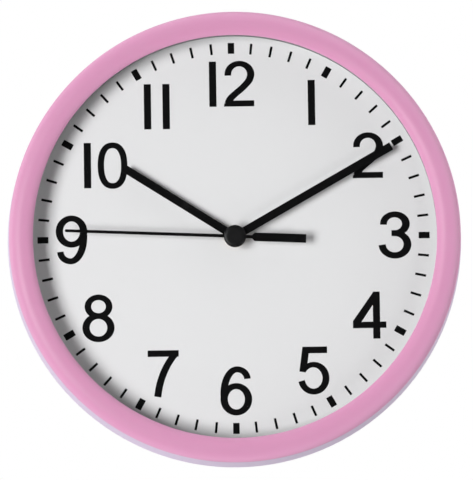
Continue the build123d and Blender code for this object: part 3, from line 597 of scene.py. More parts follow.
def place_group(tree, group, values):
    """Places a shader group in a material, with its values or links by name."""
    made = tree.nodes.new("ShaderNodeGroup")
    made.node_tree = group
    for label, value in values.items():
        fill_socket(tree, made.inputs[label], value)
    return made


def moulded(tree, base, rough, rough_change, shade, patch, grain_scale, grain_depth):
    """The moulded surface with its values."""
    return place_group(tree, moulded_group(), {
        "Colour": base, "Shade change": shade, "Patch scale": patch, "Grain scale": grain_scale,
        "Grain depth": grain_depth, "Roughness": rough, "Roughness change": rough_change,
    })


def scuffed(tree, surface, scuff, amount, scratch_scale=120.0):
    """Scuffs over another group's colour and roughness."""
    return place_group(tree, scuff_group(), {
        "Colour": surface.outputs["Colour"], "Scuff colour": scuff, "Amount": amount,
        "Scratch scale": scratch_scale, "Roughness": surface.outputs["Roughness"],
    })


def lay_on(tree, shader, last, surface):
    """Feeds the shader its colour and roughness from the last group, its normal from the first."""
    tree.links.new(last.outputs["Colour"], shader.inputs["Base Color"])
    tree.links.new(last.outputs["Roughness"], shader.inputs["Roughness"])
    tree.links.new(surface.outputs["Normal"], shader.inputs["Normal"])


def shifted(base, factor, lift=0.0):
    """A plain colour made lighter or darker."""
    return tuple(min(1.0, part * factor + lift) for part in base[:3]) + (1.0,)


def plastic(name, base, rough=0.4, grain_scale=2200.0, grain_depth=0.000012, shade=0.05,
            scuffs=0.12, dust=0.0, patch=26.0, constants=None):
    """Moulded plastic with scuffs, and dust on the pieces that stand still."""
    if name in bpy.data.materials:
        return bpy.data.materials[name]
    finish, tree, shader = new_finish(name, constants or {})
    surface = moulded(tree, base, rough, 0.12, shade, patch, grain_scale, grain_depth)
    last = scuffed(tree, surface, shifted(base, 0.72, 0.22), scuffs)
    if dust:
        last = place_group(tree, dust_group(), {
            "Colour": last.outputs["Colour"], "Amount": dust,
            "Roughness": last.outputs["Roughness"],
        })
    lay_on(tree, shader, last, surface)
    return finish


def metal(name, base, rough=0.28, stretch=(1.0, 30.0, 30.0), scale=120.0, depth=0.000006,
          shade=0.2, scuffs=0.1):
    """Metal with drawn lines and light handling marks."""
    if name in bpy.data.materials:
        return bpy.data.materials[name]
    finish, tree, shader = new_finish(name, {"Metallic": 1.0})
    surface = place_group(tree, machined_group(), {
        "Colour": base, "Shade change": shade, "Line stretch": stretch, "Line scale": scale,
        "Line depth": depth, "Roughness": rough, "Roughness change": 0.18,
    })
    lay_on(tree, shader, scuffed(tree, surface, shifted(base, 0.55), scuffs, 300.0), surface)
    return finish


def clear_glass():
    """Clear pane: plain glass to the eye, and open to the rays that light what is behind it."""
    name = "Clear pane"
    if name in bpy.data.materials:
        return bpy.data.materials[name]
    finish, tree, shader = new_finish(name, {
        "Base Color": (0.995, 1.0, 0.998, 1.0), "Metallic": 0.0, "Transmission Weight": 1.0,
        "IOR": 1.47, "Specular IOR Level": 0.25,
    })
    most_smear = 0.02
    smears = ramp(tree, noise(tree, place_on_piece(tree), 16.0, 3.0), 0.3, 0.8, 0.0, most_smear)
    tree.links.new(smears, shader.inputs["Roughness"])
    path = tree.nodes.new("ShaderNodeLightPath").outputs
    through = reckoned(tree, "MAXIMUM", path["Is Shadow Ray"], path["Is Diffuse Ray"])
    open_side = tree.nodes.new("ShaderNodeBsdfTransparent")
    joined = add_node(tree, "ShaderNodeMixShader", inputs={0: through})
    tree.links.new(shader.outputs[0], joined.inputs[1])
    tree.links.new(open_side.outputs[0], joined.inputs[2])
    tree.links.new(joined.outputs[0], tree.nodes["Material Output"].inputs["Surface"])
    return finish


def dial_card(base):
    """Coated card: faint fibres under a thin matt varnish."""
    name = "Dial card"
    if name in bpy.data.materials:
        return bpy.data.materials[name]
    finish, tree, shader = new_finish(name, {"Specular IOR Level": 0.35})
    along_fibres = place_on_piece(tree, (1.0, 1.0, 2.4), (0.0, 0.5, 0.0))
    fibres = reckoned(tree, "SUBTRACT", noise(tree, along_fibres, 900.0, 6.0, 0.7), 0.5)
    surface = moulded(tree, base, rough=0.62, rough_change=0.1, shade=0.012, patch=12.0,
                      grain_scale=1500.0, grain_depth=0.000004)
    speckled = tinted(tree, surface.outputs["Colour"], swayed(tree, fibres, 0.03, 1.0))
    tree.links.new(speckled, shader.inputs["Base Color"])
    tree.links.new(surface.outputs["Roughness"], shader.inputs["Roughness"])
    tree.links.new(surface.outputs["Normal"], shader.inputs["Normal"])
    return finish


def battery_jacket(body, band, split):
    """Printed sleeve: a plain body with a metallic band and a thin line at the positive end."""
    name = "Battery jacket"
    if name in bpy.data.materials:
        return bpy.data.materials[name]
    finish, tree, shader = new_finish(name, {"Coat Weight": 0.6, "Coat Roughness": 0.12})
    blur, line_before, half_line, foil = 0.05 * MM, 1.6 * MM, 0.3 * MM, 0.85
    place = tree.nodes.new("ShaderNodeTexCoord")
    along = add_node(tree, "ShaderNodeSeparateXYZ",
                     inputs={"Vector": place.outputs["Object"]}).outputs["X"]
    edge = ramp(tree, along, split - blur, split + blur)
    from_line = reckoned(tree, "ABSOLUTE", reckoned(tree, "SUBTRACT", along, split - line_before))
    mask = reckoned(tree, "MAXIMUM", edge, reckoned(tree, "LESS_THAN", from_line, half_line))
    surface = moulded(tree, blended(tree, mask, body, band), rough=0.3, rough_change=0.1,
                      shade=0.08, patch=60.0, grain_scale=1600.0, grain_depth=0.000006)
    lay_on(tree, shader, scuffed(tree, surface, (0.7, 0.7, 0.7, 1.0), 0.25), surface)
    tree.links.new(reckoned(tree, "MULTIPLY", mask, foil), shader.inputs["Metallic"])
    return finish


def board_mask(base):
    """Circuit board: green mask over faint copper tracks."""
    name = "Circuit board"
    if name in bpy.data.materials:
        return bpy.data.materials[name]
    finish, tree, shader = new_finish(name, {"Coat Weight": 0.4, "Coat Roughness": 0.15})
    tracks = add_node(tree, "ShaderNodeTexBrick", inputs={
        "Vector": place_on_piece(tree, (1.0, 1.0, 1.0), (pi / 2, 0.0, 0.0)), "Scale": 260.0,
        "Mortar Size": 0.06, "Brick Width": 0.9, "Row Height": 0.5,
    }).outputs["Fac"]
    surface = moulded(tree, blended(tree, tracks, base, shifted(base, 1.9, 0.01)), rough=0.35,
                      rough_change=0.1, shade=0.1, patch=90.0, grain_scale=1800.0,
                      grain_depth=0.000004)
    lay_on(tree, shader, surface, surface)
    return finish


def bezel_plastic(colours):
    """Satin pink plastic of the bezel."""
    return plastic("Bezel plastic", colours.bezel, rough=0.42, grain_scale=1500.0,
                   grain_depth=0.000008, shade=0.02, scuffs=0.03, patch=14.0, constants={
                       "Diffuse Roughness": 0.8, "Specular IOR Level": 0.3,
                       "Subsurface Weight": 0.15, "Subsurface Radius": (1.0, 0.6, 0.8),
                       "Subsurface Scale": 0.008})


def case_plastic(colours):
    """Pale lilac plastic of the rear case."""
    return plastic("Rear case plastic", colours.case, rough=0.52, grain_scale=1500.0,
                   grain_depth=0.00001, shade=0.03, scuffs=0.05, dust=0.06, patch=18.0,
                   constants={"Diffuse Roughness": 0.6, "Specular IOR Level": 0.3})


def spacer_plastic(colours):
    """Matt grey plastic of the ring between the dial and the glass, kept dark as painted shade so
    that it throws little light onto the dial's rim.
    """
    return plastic("Spacer plastic", colours.spacer, rough=0.5, grain_scale=1500.0,
                   grain_depth=0.000008, shade=0.03, scuffs=0.0, patch=20.0)


def print_ink(colours):
    """Screen-printed ink of the dial."""
    return plastic("Dial ink", colours.ink, rough=0.7, grain_scale=3000.0, grain_depth=0.000003,
                   shade=0.1, scuffs=0.0, patch=60.0, constants={"Specular IOR Level": 0.05})


def hand_paint(colours):
    """Satin black paint of the stamped hands."""
    return plastic("Hand paint", colours.hands, rough=0.5, grain_scale=3200.0,
                   grain_depth=0.000004, shade=0.1, scuffs=0.04, patch=60.0,
                   constants={"Specular IOR Level": 0.06})


def cap_plastic(colours):
    """Black plastic of the cap over the hands."""
    return plastic("Cap plastic", colours.cap, rough=0.4, grain_scale=3000.0,
                   grain_depth=0.000003, shade=0.25, scuffs=0.05, patch=260.0,
                   constants={"Specular IOR Level": 0.25})


def gear_plastic():
    """Natural white plastic of the wheels."""
    return plastic("Wheel plastic", paint(232, 229, 218), rough=0.38, grain_scale=2600.0,
                   grain_depth=0.000004, shade=0.05, scuffs=0.04, patch=90.0, constants={
                       "Subsurface Weight": 0.1, "Subsurface Radius": (0.002, 0.0016, 0.0012),
                       "Subsurface Scale": 0.3})


def brass():
    """Turned brass."""
    return metal("Turned brass", paint(205, 168, 96), 0.26, (4.0, 40.0, 4.0), 160.0)


def nickel():
    """Nickel-plated spring sheet."""
    return metal("Nickel plate", paint(196, 194, 188), 0.24, (30.0, 2.0, 8.0), 90.0)


def steel():
    """Zinc-plated steel."""
    return metal("Plated steel", paint(186, 190, 196), 0.3, (6.0, 40.0, 6.0), 150.0)


# ============================================================ dial's numerals
# Numerals are drawn in units of the artwork, from the lower left of each figure.
ART = 0.9971 * MM       # one unit of the artwork, as printed
THICK, THIN = 1.9, 1.5  # half the width of an upright and of a level run of the pen
WEIGHT = 1.06           # how much heavier than drawn the whole face is


def pen_stroke(points, thick=THICK, thin=THIN, start=1.0, end=1.0):
    """Outline of a pen stroke, which may start and end thinner than the rest."""
    left, right = [], []
    tapered = 0.35
    last = len(points) - 1
    for index, (x, y) in enumerate(points):
        before = points[max(index - 1, 0)]
        after = points[min(index + 1, last)]
        run = Vector((after[0] - before[0], after[1] - before[1])).normalized()
        across = Vector((-run.y, run.x))
        part = index / last
        taper = 1 - (1 - start) * max(0, 1 - part / tapered)
        taper -= (1 - end) * max(0, 1 - (1 - part) / tapered)
        half = taper * WEIGHT * hypot(thick * across.x, thin * across.y)
        left.append((x + across.x * half, y + across.y * half))
        right.append((x - across.x * half, y - across.y * half))
    return left + right[::-1]


def ring_strokes(middle, radii, thick, thin, square=2.0):
    """Two half rings round a numeral's counter. A square above 2 gives flatter sides."""
    halves, steps = [], 32
    for start in (90, -90):
        points = []
        for step in range(steps + 1):
            turn = radians(start + 180 * step / steps)
            flat_x = abs(cos(turn)) ** (2 / square) * (1 if cos(turn) >= 0 else -1)
            flat_y = abs(sin(turn)) ** (2 / square) * (1 if sin(turn) >= 0 else -1)
            points.append((middle[0] + radii[0] * flat_x, middle[1] + radii[1] * flat_y))
        halves.append(pen_stroke(points, thick, thin))
    return halves


def curve_through(points, steps=6):
    """A smooth curve through points."""
    padded = [points[0], *points, points[-1]]
    curve = []
    for index in range(1, len(padded) - 2):
        p0, p1, p2, p3 = (Vector(p) for p in padded[index - 1:index + 3])
        for step in range(steps):
            t = step / steps
            point = 0.5 * ((2 * p1) + (p2 - p0) * t + (2 * p0 - 5 * p1 + 4 * p2 - p3) * t * t
                           + (3 * p1 - p0 - 3 * p2 + p3) * t ** 3)
            curve.append((point.x, point.y))
    curve.append(points[-1])
    return curve


def glyph_0():
    """A tall ring."""
    return ring_strokes((8.3, 12.8), (6.5, 11.35), 1.6, 1.45, 2.35)


def glyph_1():
    """A plain upright."""
    return [[(0, 0), (3.85, 0), (3.85, 25.2), (0, 25.2)]]


def glyph_2():
    """A bow, a tail and a foot."""
    path = arc((8.75, 18.0), (6.4, 6.0), 186, -18, 24)[:-1]
    tail = curve_through([path[-1], (13.9, 14.2), (10.4, 10.4), (6.2, 6.9), (3.5, 4.2), (2.3, 1.6)])
    return [
        pen_stroke(path + tail[1:], 1.85, 1.45, 0.9, 1.0),
        [(0, 0), (16.8, 0), (16.8, 3.2), (2.2, 3.2), (0.2, 1.4)],
    ]


def glyph_3():
    """Two bows that meet."""
    upper = arc((9.0, 19.3), (6.25, 5.25), 184, -90, 30) + [(7.2, 14.05)]
    lower = [(7.8, 14.0)] + arc((8.9, 7.8), (7.05, 6.2), 90, -178, 30)
    return [pen_stroke(upper, 2.0, 1.5, 0.85), pen_stroke(lower, 2.0, 1.6, 0.9, 0.9)]


def glyph_4():
    """A stem, a bar and a slanting arm."""
    return [
        [(11.2, 0), (15.0, 0), (15.0, 26.0), (11.2, 26.0)],
        [(0, 5.9), (18.4, 5.9), (18.4, 9.3), (0, 9.3)],
        [(0, 5.9), (4.6, 9.3), (11.2, 19.0), (15.0, 26.0), (11.6, 26.0), (0, 9.8)],
    ]


def glyph_5():
    """A bar, a neck and a bowl."""
    bowl = arc((8.6, 9.0), (6.85, 7.5), 148, -168, 34)
    return [
        [(2.7, 22.9), (16.2, 22.9), (16.2, 26.4), (2.7, 26.4)],
        [(0.8, 12.8), (4.2, 12.4), (5.3, 17.5), (6.0, 22.9), (6.0, 26.4), (2.7, 26.4)],
        pen_stroke(bowl, 1.75, 1.5, 0.8, 0.95),
    ]


def glyph_6():
    """A bow over a ring."""
    path = arc((9.2, 19.9), (5.7, 5.45), 2, 90, 12)
    path += arc((9.2, 11.6), (7.4, 13.75), 94, 184, 18)
    return [pen_stroke(path, 1.8, 1.5, 0.9),
            *ring_strokes((8.6, 8.75), (6.75, 7.3), 1.85, 1.5)]


def glyph_7():
    """A bar and a bent stem."""
    stem = curve_through([(5.25, 0), (6.3, 6), (8.2, 12), (10.8, 17.5), (14.3, 22.8)])
    return [
        [(0, 22.3), (17.1, 22.3), (17.1, 25.7), (0, 25.7)],
        [(12.0, 22.3), (15.6, 21.3), (17.1, 23.5), (17.1, 25.7), (12.0, 25.7)],
        pen_stroke(stem, 1.8, 1.5),
    ]


def glyph_8():
    """Two rings."""
    return [*ring_strokes((8.8, 19.6), (5.9, 5.2), 1.65, 1.4),
            *ring_strokes((8.65, 7.85), (6.9, 6.45), 1.85, 1.4)]


def glyph_9():
    """A six upside down."""
    return [[(17.2 - x, 27.0 - y) for x, y in outline] for outline in glyph_6()]


# The figures of the numerals 1 to 12, each with its left edge and its foot from the dial's centre.
FIGURES = (
    (glyph_1, 42.6, 62.5),
    (glyph_2, 66.9, 32.4),
    (glyph_3, 80.8, -12.75),
    (glyph_4, 65.7, -57.25),
    (glyph_5, 34.7, -87.8),
    (glyph_6, -8.4, -98.7),
    (glyph_7, -48.6, -88.0),
    (glyph_8, -84.45, -57.0),
    (glyph_9, -98.8, -13.6),
    (glyph_1, -82.8, 28.8), (glyph_0, -75.2, 28.4),
    (glyph_1, -48.95, 61.3), (glyph_1, -38.55, 61.3),
    (glyph_1, -12.4, 73.5), (glyph_2, -4.3, 73.5),
)


def spread_ink(outline, spread):
    """Moves an outline that turns left outward by the spread, with its corners kept sharp."""
    moved, blunt = [], 0.5
    for index, point in enumerate(outline):
        after = outline[(index + 1) % len(outline)]
        come, go = (point - outline[index - 1]).normalized(), (after - point).normalized()
        side = Vector((come.y + go.y, -come.x - go.x))
        if side.length < blunt:
            side = Vector((come.y, -come.x))
        side.normalize()
        moved.append(point + side * spread / max(blunt, side.dot(Vector((go.y, -go.x)))))
    return moved


def printed(shape, outlines, level, height, spread):
    """Joins overlapping outlines, in metres, into one flat figure with the print's thickness."""
    points, faces = [], []
    for outline in outlines:
        turns_left = sum(a[0] * b[1] - b[0] * a[1]
                         for a, b in zip(outline, outline[1:] + outline[:1])) > 0
        faces.append(list(range(len(points), len(points) + len(outline))))
        ordered = [Vector(point) for point in (outline if turns_left else outline[::-1])]
        points += spread_ink(ordered, spread)
    flat, _, triangles, _, _, owners = delaunay_2d_cdt(points, [], faces, 1, JOIN)
    inside = [triangle for triangle, owner in zip(triangles, owners) if owner]
    runs = [run for triangle in inside for run in zip(triangle, triangle[1:] + triangle[:1])]
    shared = set(runs)
    front, back = ([shape.verts.new(spot(p.x, depth, p.y)) for p in flat]
                   for depth in (level + height, level))
    for triangle in inside:
        shape.faces.new([front[i] for i in triangle])
        shape.faces.new([back[i] for i in triangle[::-1]])
    for start, end in runs:
        if (end, start) not in shared:
            shape.faces.new((front[end], front[start], back[start], back[end]))


# =================================================================== operators
def chosen(context):
    """The sizes and colours that the user has chosen."""
    return context.scene.wall_clock_sizes, context.scene.wall_clock_colours


class WALLCLOCK_OT_bezel(bpy.types.Operator):
    """Turns the bezel with its round crown, lip, glass pocket and six screw bosses"""

    bl_idname = "wall_clock.bezel"
    bl_label = "Bezel"
    bl_options = {"REGISTER", "UNDO"}

    def execute(self, context):
        sizes, colours = chosen(context)
        _, outer, boss_rear, front, _, _ = reach("bezel")
        _, lens_radius, lens_back, lens_front, _, _ = reach("lens")
        lip_corner, skirt_inset, skirt_corner = 0.06 * MM, 0.3 * MM, 0.15 * MM
        pocket_play, pocket_wall, pocket_floor = 0.3 * MM, 1.4 * MM, 1.0 * MM
        skirt_depth = 4.8 * MM
        lip = lens_radius - sizes.lip_overlap
        lip_edge = lens_front + sizes.lip_thickness - lip_corner
        crown = sizes.crown_radius
        cavity = crown - sizes.bezel_wall
        crown_middle, crown_base = outer - crown, front - crown
        skirt, seam = outer - skirt_inset, crown_base - skirt_depth
        pocket, pocket_rear = lens_radius + pocket_play, lens_back - pocket_floor
        pocket_outer = pocket + pocket_wall
        lip_turn = 180 - degrees(acos((crown_middle - lip) / crown))
        cavity_turn = 180 - degrees(acos((pocket_outer - crown_middle) / -cavity))
        profile = [(skirt, seam + skirt_corner)]
        profile += arc((crown_middle, crown_base), (crown, crown), 0, lip_turn, 56)
        profile += [(lip, lip_edge), (lip, lens_front), (pocket, lens_front)]
        profile += [(pocket, pocket_rear), (pocket_outer, pocket_rear)]
        profile += arc((crown_middle, crown_base), (cavity, cavity), cavity_turn, 0, 20)
        profile += [(outer - sizes.bezel_wall, seam), (skirt - skirt_corner, seam)]
        shape = bmesh.new()
        turn_profile(shape, profile, around_depth, AROUND)
        bore, boss, around_boss = 1.05 * MM, 2.2 * MM, 32
        bore_front, boss_front = boss_rear + 9.0 * MM, crown_base + cavity - 0.1 * MM
        profile = [(bore, boss_rear), (boss, boss_rear), (boss, boss_front), (0.0, boss_front),
                   (0.0, bore_front), (bore, bore_front)]
        circle = reach("case_screws")[5] - SCREW_HEAD
        for index in range(SCREWS):
            turn = radians(FIRST_SCREW + 360 * index / SCREWS)
            turn_profile(shape, profile, standing_at(circle * cos(turn), circle * sin(turn)),
                         around_boss)
        add_piece("bezel_ring", mesh_of(shape, "bezel_ring"), bezel_plastic(colours), "case",
                  ("bezel",))
        return {"FINISHED"}


class WALLCLOCK_OT_rear_case(bpy.types.Operator):
    """Rounds off the rear case with its floor, ribs and frame"""

    bl_idname = "wall_clock.rear_case"
    bl_label = "Rear case"
    bl_options = {"REGISTER", "UNDO"}

    def execute(self, context):
        sizes, colours = chosen(context)
        mesh = softened("rear_shell", "rear_case", sizes.case_edge)
        add_piece("rear_shell", mesh, case_plastic(colours), "case", ("rear_case",))
        return {"FINISHED"}


class WALLCLOCK_OT_case_screws(bpy.types.Operator):
    """Sets the six pan-head screws that hold the rear case in the bezel"""

    bl_idname = "wall_clock.case_screws"
    bl_label = "Case screws"
    bl_options = {"REGISTER", "UNDO"}

    def execute(self, context):
        _, _, head_rear, tip, _, top = reach("case_screws")
        blank_mesh = screw_mesh(tip - head_rear, chosen(context)[0].thread_pitch)
        blank = bpy.data.objects.new("Screw blank", blank_mesh)
        context.scene.collection.objects.link(blank)
        mesh = grown("case_screw_set", screw_ring(), {
            "Screw": blank, "Count": SCREWS, "Ring radius": top - SCREW_HEAD,
            "First angle": radians(FIRST_SCREW), "Level": head_rear, "Seed": 4})
        bpy.data.objects.remove(blank)
        bpy.data.meshes.remove(blank_mesh)
        add_piece("case_screw_set", mesh, steel(), "case", ("case_screws",))
        return {"FINISHED"}


def screw_ring():
    """A geometry tree that sets screws in a ring, each stopped at a turn of its own."""
    tree, source = geometry_tree("Screws in a ring", (
        ("Screw", "NodeSocketObject", None),
        ("Count", "NodeSocketInt", SCREWS),
        ("Ring radius", "NodeSocketFloat", 0.1),
        ("First angle", "NodeSocketFloat", 0.5),
        ("Level", "NodeSocketFloat", 0.02),
        ("Seed", "NodeSocketInt", 4),
    ))
    given = source.outputs
    ring = add_node(tree, "GeometryNodeMeshCircle", inputs={
        "Vertices": given["Count"], "Radius": given["Ring radius"]})
    first = add_node(tree, "ShaderNodeCombineXYZ", inputs={"Z": given["First angle"]})
    turned_ring = add_node(tree, "GeometryNodeTransform", inputs={
        "Geometry": ring.outputs[0], "Rotation": first.outputs[0]})
    screw = add_node(tree, "GeometryNodeObjectInfo", inputs={"Object": given["Screw"]})
    most = 3    # the socket that holds the largest plain value
    spin = add_node(tree, "FunctionNodeRandomValue", {"data_type": "FLOAT"},
                    {"Seed": given["Seed"], most: pi / 2})
    spun = add_node(tree, "ShaderNodeCombineXYZ", inputs={"Z": spin.outputs[1]})
    placed = add_node(tree, "GeometryNodeInstanceOnPoints", inputs={
        "Points": turned_ring.outputs[0], "Instance": screw.outputs["Geometry"],
        "Rotation": spun.outputs[0]})
    close_tree(tree, face_front(tree, placed.outputs[0], given["Level"]), steel())
    return tree


def screw_mesh(whole, pitch):
    """A pan-head screw along +Z with its head at the origin, a cross recess and a real thread."""
    shank, head_height = 1.0 * MM, 1.4 * MM
    arm, half_slot, deep, narrowing = 0.8 * MM, 0.24 * MM, 0.75 * MM, 0.6

    def upright(radius, along, turn):
        return Vector((radius * cos(turn), radius * sin(turn), along))

    shape = bmesh.new()
    profile = arc((0.0, head_height), (SCREW_HEAD, head_height), -90, -8, 8)
    profile += [(SCREW_HEAD, head_height), (0.0, head_height)]
    turn_profile(shape, profile, upright, 32)
    carrier = bpy.data.objects.new("Screw head", mesh_of(shape, "screw_head"))
    bpy.context.scene.collection.objects.link(carrier)
    cutters = []
    for turn in (0.0, pi / 2):
        block = bmesh.new()
        bmesh.ops.create_cube(block, size=1.0)
        for vertex in block.verts:
            inside = vertex.co.z > 0
            width = narrowing if inside else 1.0
            vertex.co.x *= 2 * arm * width
            vertex.co.y *= 2 * half_slot * width
            vertex.co.z = deep if inside else -deep
        bmesh.ops.rotate(block, verts=block.verts, matrix=Matrix.Rotation(turn, 3, "Z"))
        mesh = bpy.data.meshes.new("screw_cut")
        block.to_mesh(mesh)
        block.free()
        cutter = bpy.data.objects.new("Screw cutter", mesh)
        bpy.context.scene.collection.objects.link(cutter)
        cutters.append(cutter)
        cutting = carrier.modifiers.new("Recess", "BOOLEAN")
        cutting.operation = "DIFFERENCE"
        cutting.solver = "EXACT"
        cutting.object = cutter
    graph = bpy.context.evaluated_depsgraph_get()
    cut_head = bpy.data.meshes.new_from_object(carrier.evaluated_get(graph), depsgraph=graph)
    for item in (carrier, *cutters):
        bpy.data.objects.remove(item)
    shape = bmesh.new()
    shape.from_mesh(cut_head)
    threaded(shape, shank, 0.78 * shank, pitch, head_height - 0.02 * MM, whole)
    return mesh_of(shape, "screw_blank")


def threaded(shape, outer, core, pitch, start, end):
    """A closed threaded shank along +Z with a short point."""
    around, rows_a_turn, sharpness = 18, 5, 3.2
    point_length, point_width = 1.6 * pitch, 0.25
    rows = int((end - start) / pitch * rows_a_turn)
    rings = []
    for row in range(rows + 1):
        ring = []
        for step in range(around):
            along = start + (end - start) * row / rows
            phase = (along / pitch - step / around) % 1.0
            crest = max(0.0, 1.0 - abs(phase - 0.5) * sharpness)
            point = min(1.0, (end - along) / point_length + point_width)
            radius = (core + (outer - core) * crest) * point
            turn = 2 * pi * step / around
            ring.append(shape.verts.new((radius * cos(turn), radius * sin(turn), along)))
        rings.append(ring)
    for row in range(rows):
        for step in range(around):
            beside = (step + 1) % around
            shape.faces.new((rings[row][step], rings[row][beside],
                             rings[row + 1][beside], rings[row + 1][step]))
    for ring, along in ((rings[0], start), (rings[-1], end)):
        middle = shape.verts.new((0.0, 0.0, along))
        for step in range(around):
            shape.faces.new((ring[step], ring[(step + 1) % around], middle))


class WALLCLOCK_OT_glass(bpy.types.Operator):
    """Turns the clear pane and the spacer ring behind it"""

    bl_idname = "wall_clock.glass"
    bl_label = "Glass and spacer"
    bl_options = {"REGISTER", "UNDO"}

    def execute(self, context):
        edge, spacer_wall = 0.25 * MM, 2.4 * MM
        _, radius, back, front, _, _ = reach("lens")
        pane = rounded([(0.0, back, 0), (radius, back, edge), (radius, front, edge),
                        (0.0, front, 0)])
        add_piece("clear_pane", turned("clear_pane", pane, angle=FLAT_CREASE), clear_glass(),
                  "case", ("lens",))
        _, outer, rear, top, _, _ = reach("spacer_ring")
        inner = outer - spacer_wall
        ring = rounded([(inner, rear, 0), (outer, rear, 0), (outer, top, edge), (inner, top, edge)])
        add_piece("spacer_band", turned("spacer_band", ring, angle=FLAT_CREASE),
                  spacer_plastic(chosen(context)[1]), "case", ("spacer_ring",))
        return {"FINISHED"}


class WALLCLOCK_OT_dial(bpy.types.Operator):
    """Turns the dial card"""

    bl_idname = "wall_clock.dial"
    bl_label = "Dial card"
    bl_options = {"REGISTER", "UNDO"}

    def execute(self, context):
        _, radius, rear, front, _, _ = reach("dial")
        hole, rim_edge, hole_edge = 3.7 * MM, 0.1 * MM, 0.05 * MM
        card = rounded([(hole, rear, 0), (radius, rear, 0), (radius, front, rim_edge),
                        (hole, front, hole_edge)])
        add_piece("dial_card", turned("dial_card", card, angle=FLAT_CREASE),
                  dial_card(chosen(context)[1].dial), "case", ("dial",))
        return {"FINISHED"}


class WALLCLOCK_OT_ticks(bpy.types.Operator):
    """Prints the sixty ticks round the dial, with a broad one at each hour"""

    bl_idname = "wall_clock.ticks"
    bl_label = "Tick marks"
    bl_options = {"REGISTER", "UNDO"}

    def execute(self, context):
        sizes, colours = chosen(context)
        ink = print_ink(colours)
        mesh = grown("tick_marks", tick_ring(ink), {
            "Count": TICKS, "Outer radius": sizes.tick_outer, "Hour length": sizes.hour_tick_length,
            "Hour width": sizes.hour_tick_width, "Minute length": sizes.minute_tick_length,
            "Minute width": sizes.minute_tick_width, "Corner": sizes.tick_corner,
            "Thickness": sizes.print_height, "Level": reach("dial")[3],
            "Aside": sizes.print_aside, "Below": sizes.print_below})
        add_piece("tick_marks", mesh, ink, "case")
        return {"FINISHED"}


def tick_ring(ink):
    """A geometry tree that lays ticks in a ring, with every fifth one an hour's."""
    labels = ("Outer radius", "Hour length", "Hour width", "Minute length", "Minute width",
              "Corner", "Thickness", "Level", "Aside", "Below")
    tree, source = geometry_tree("Ticks round a dial", [("Count", "NodeSocketInt", TICKS)] + [
        (label, "NodeSocketFloat", MM) for label in labels])
    given = source.outputs
    index = tree.nodes.new("GeometryNodeInputIndex").outputs[0]
    step = reckoned(tree, "DIVIDE", 2 * pi, given["Count"])
    turn = add_node(tree, "ShaderNodeCombineXYZ",
                    inputs={"Z": reckoned(tree, "MULTIPLY", index, step)}).outputs[0]
    hourly = reckoned(tree, "COMPARE", reckoned(tree, "MODULO", index, TICKS_AN_HOUR), 0.0)
    joined = tree.nodes.new("GeometryNodeJoinGeometry")
    for kind, picked in (("Hour", hourly), ("Minute", reckoned(tree, "SUBTRACT", 1.0, hourly))):
        across = given[kind + " length"]
        middle = reckoned(tree, "SUBTRACT", given["Outer radius"],
                          reckoned(tree, "MULTIPLY", across, 0.5))
        ring = add_node(tree, "GeometryNodeMeshCircle", inputs={
            "Vertices": given["Count"], "Radius": middle})
        outline = add_node(tree, "GeometryNodeCurvePrimitiveQuadrilateral", inputs={
            "Width": across, "Height": given[kind + " width"]})
        corners = add_node(tree, "GeometryNodeFilletCurve")
        set_choice(corners, "mode", "Mode", "POLY", "Poly")
        for label, value in (("Curve", outline.outputs[0]), ("Radius", given["Corner"]),
                             ("Count", 4)):
            fill_socket(tree, corners.inputs[label], value)
        filled = add_node(tree, "GeometryNodeFillCurve", inputs={"Curve": corners.outputs[0]})
        set_choice(filled, "mode", "Mode", "NGONS", "N-gons")
        raised = add_node(tree, "GeometryNodeExtrudeMesh", inputs={
            "Mesh": filled.outputs[0], "Offset Scale": given["Thickness"], "Individual": False})
        solid = tree.nodes.new("GeometryNodeJoinGeometry")
        tree.links.new(raised.outputs[0], solid.inputs[0])
        tree.links.new(filled.outputs[0], solid.inputs[0])
        ticks = add_node(tree, "GeometryNodeInstanceOnPoints", inputs={
            "Points": ring.outputs[0], "Selection": picked, "Instance": solid.outputs[0],
            "Rotation": turn})
        tree.links.new(ticks.outputs[0], joined.inputs[0])
    stood = face_front(tree, joined.outputs[0], given["Level"], given["Aside"], given["Below"])
    close_tree(tree, stood, ink)
    return tree


def set_choice(target, attribute, socket, old, new):
    """Sets a choice that is a property on some nodes and a menu input on others."""
    if hasattr(target, attribute):
        setattr(target, attribute, old)
    else:
        target.inputs[socket].default_value = new


class WALLCLOCK_OT_numerals(bpy.types.Operator):
    """Prints the twelve numerals on the dial"""

    bl_idname = "wall_clock.numerals"
    bl_label = "Numerals"
    bl_options = {"REGISTER", "UNDO"}

    def execute(self, context):
        sizes, colours = chosen(context)
        level, aside, below = reach("dial")[3], sizes.print_aside, sizes.print_below
        shape = bmesh.new()
        for glyph, left, foot in FIGURES:
            outlines = [[((left + x) * ART - aside, (foot + y) * ART - below) for x, y in outline]
                        for outline in glyph()]
            printed(shape, outlines, level, sizes.print_height, sizes.ink_spread)
        add_piece("numerals", mesh_of(shape, "numerals"), print_ink(colours), "case")
        return {"FINISHED"}


class WALLCLOCK_OT_hour_hand(bpy.types.Operator):
    """Finishes the stamped hour hand and its collet"""

    bl_idname = "wall_clock.hour_hand"
    bl_label = "Hour hand"
    bl_options = {"REGISTER", "UNDO"}

    def execute(self, context):
        dress_hand(context, "hour", "hour_hand_set")
        return {"FINISHED"}


class WALLCLOCK_OT_minute_hand(bpy.types.Operator):
    """Finishes the stamped minute hand and its collet"""

    bl_idname = "wall_clock.minute_hand"
    bl_label = "Minute hand"
    bl_options = {"REGISTER", "UNDO"}

    def execute(self, context):
        dress_hand(context, "minute", "minute_hand_set")
        return {"FINISHED"}


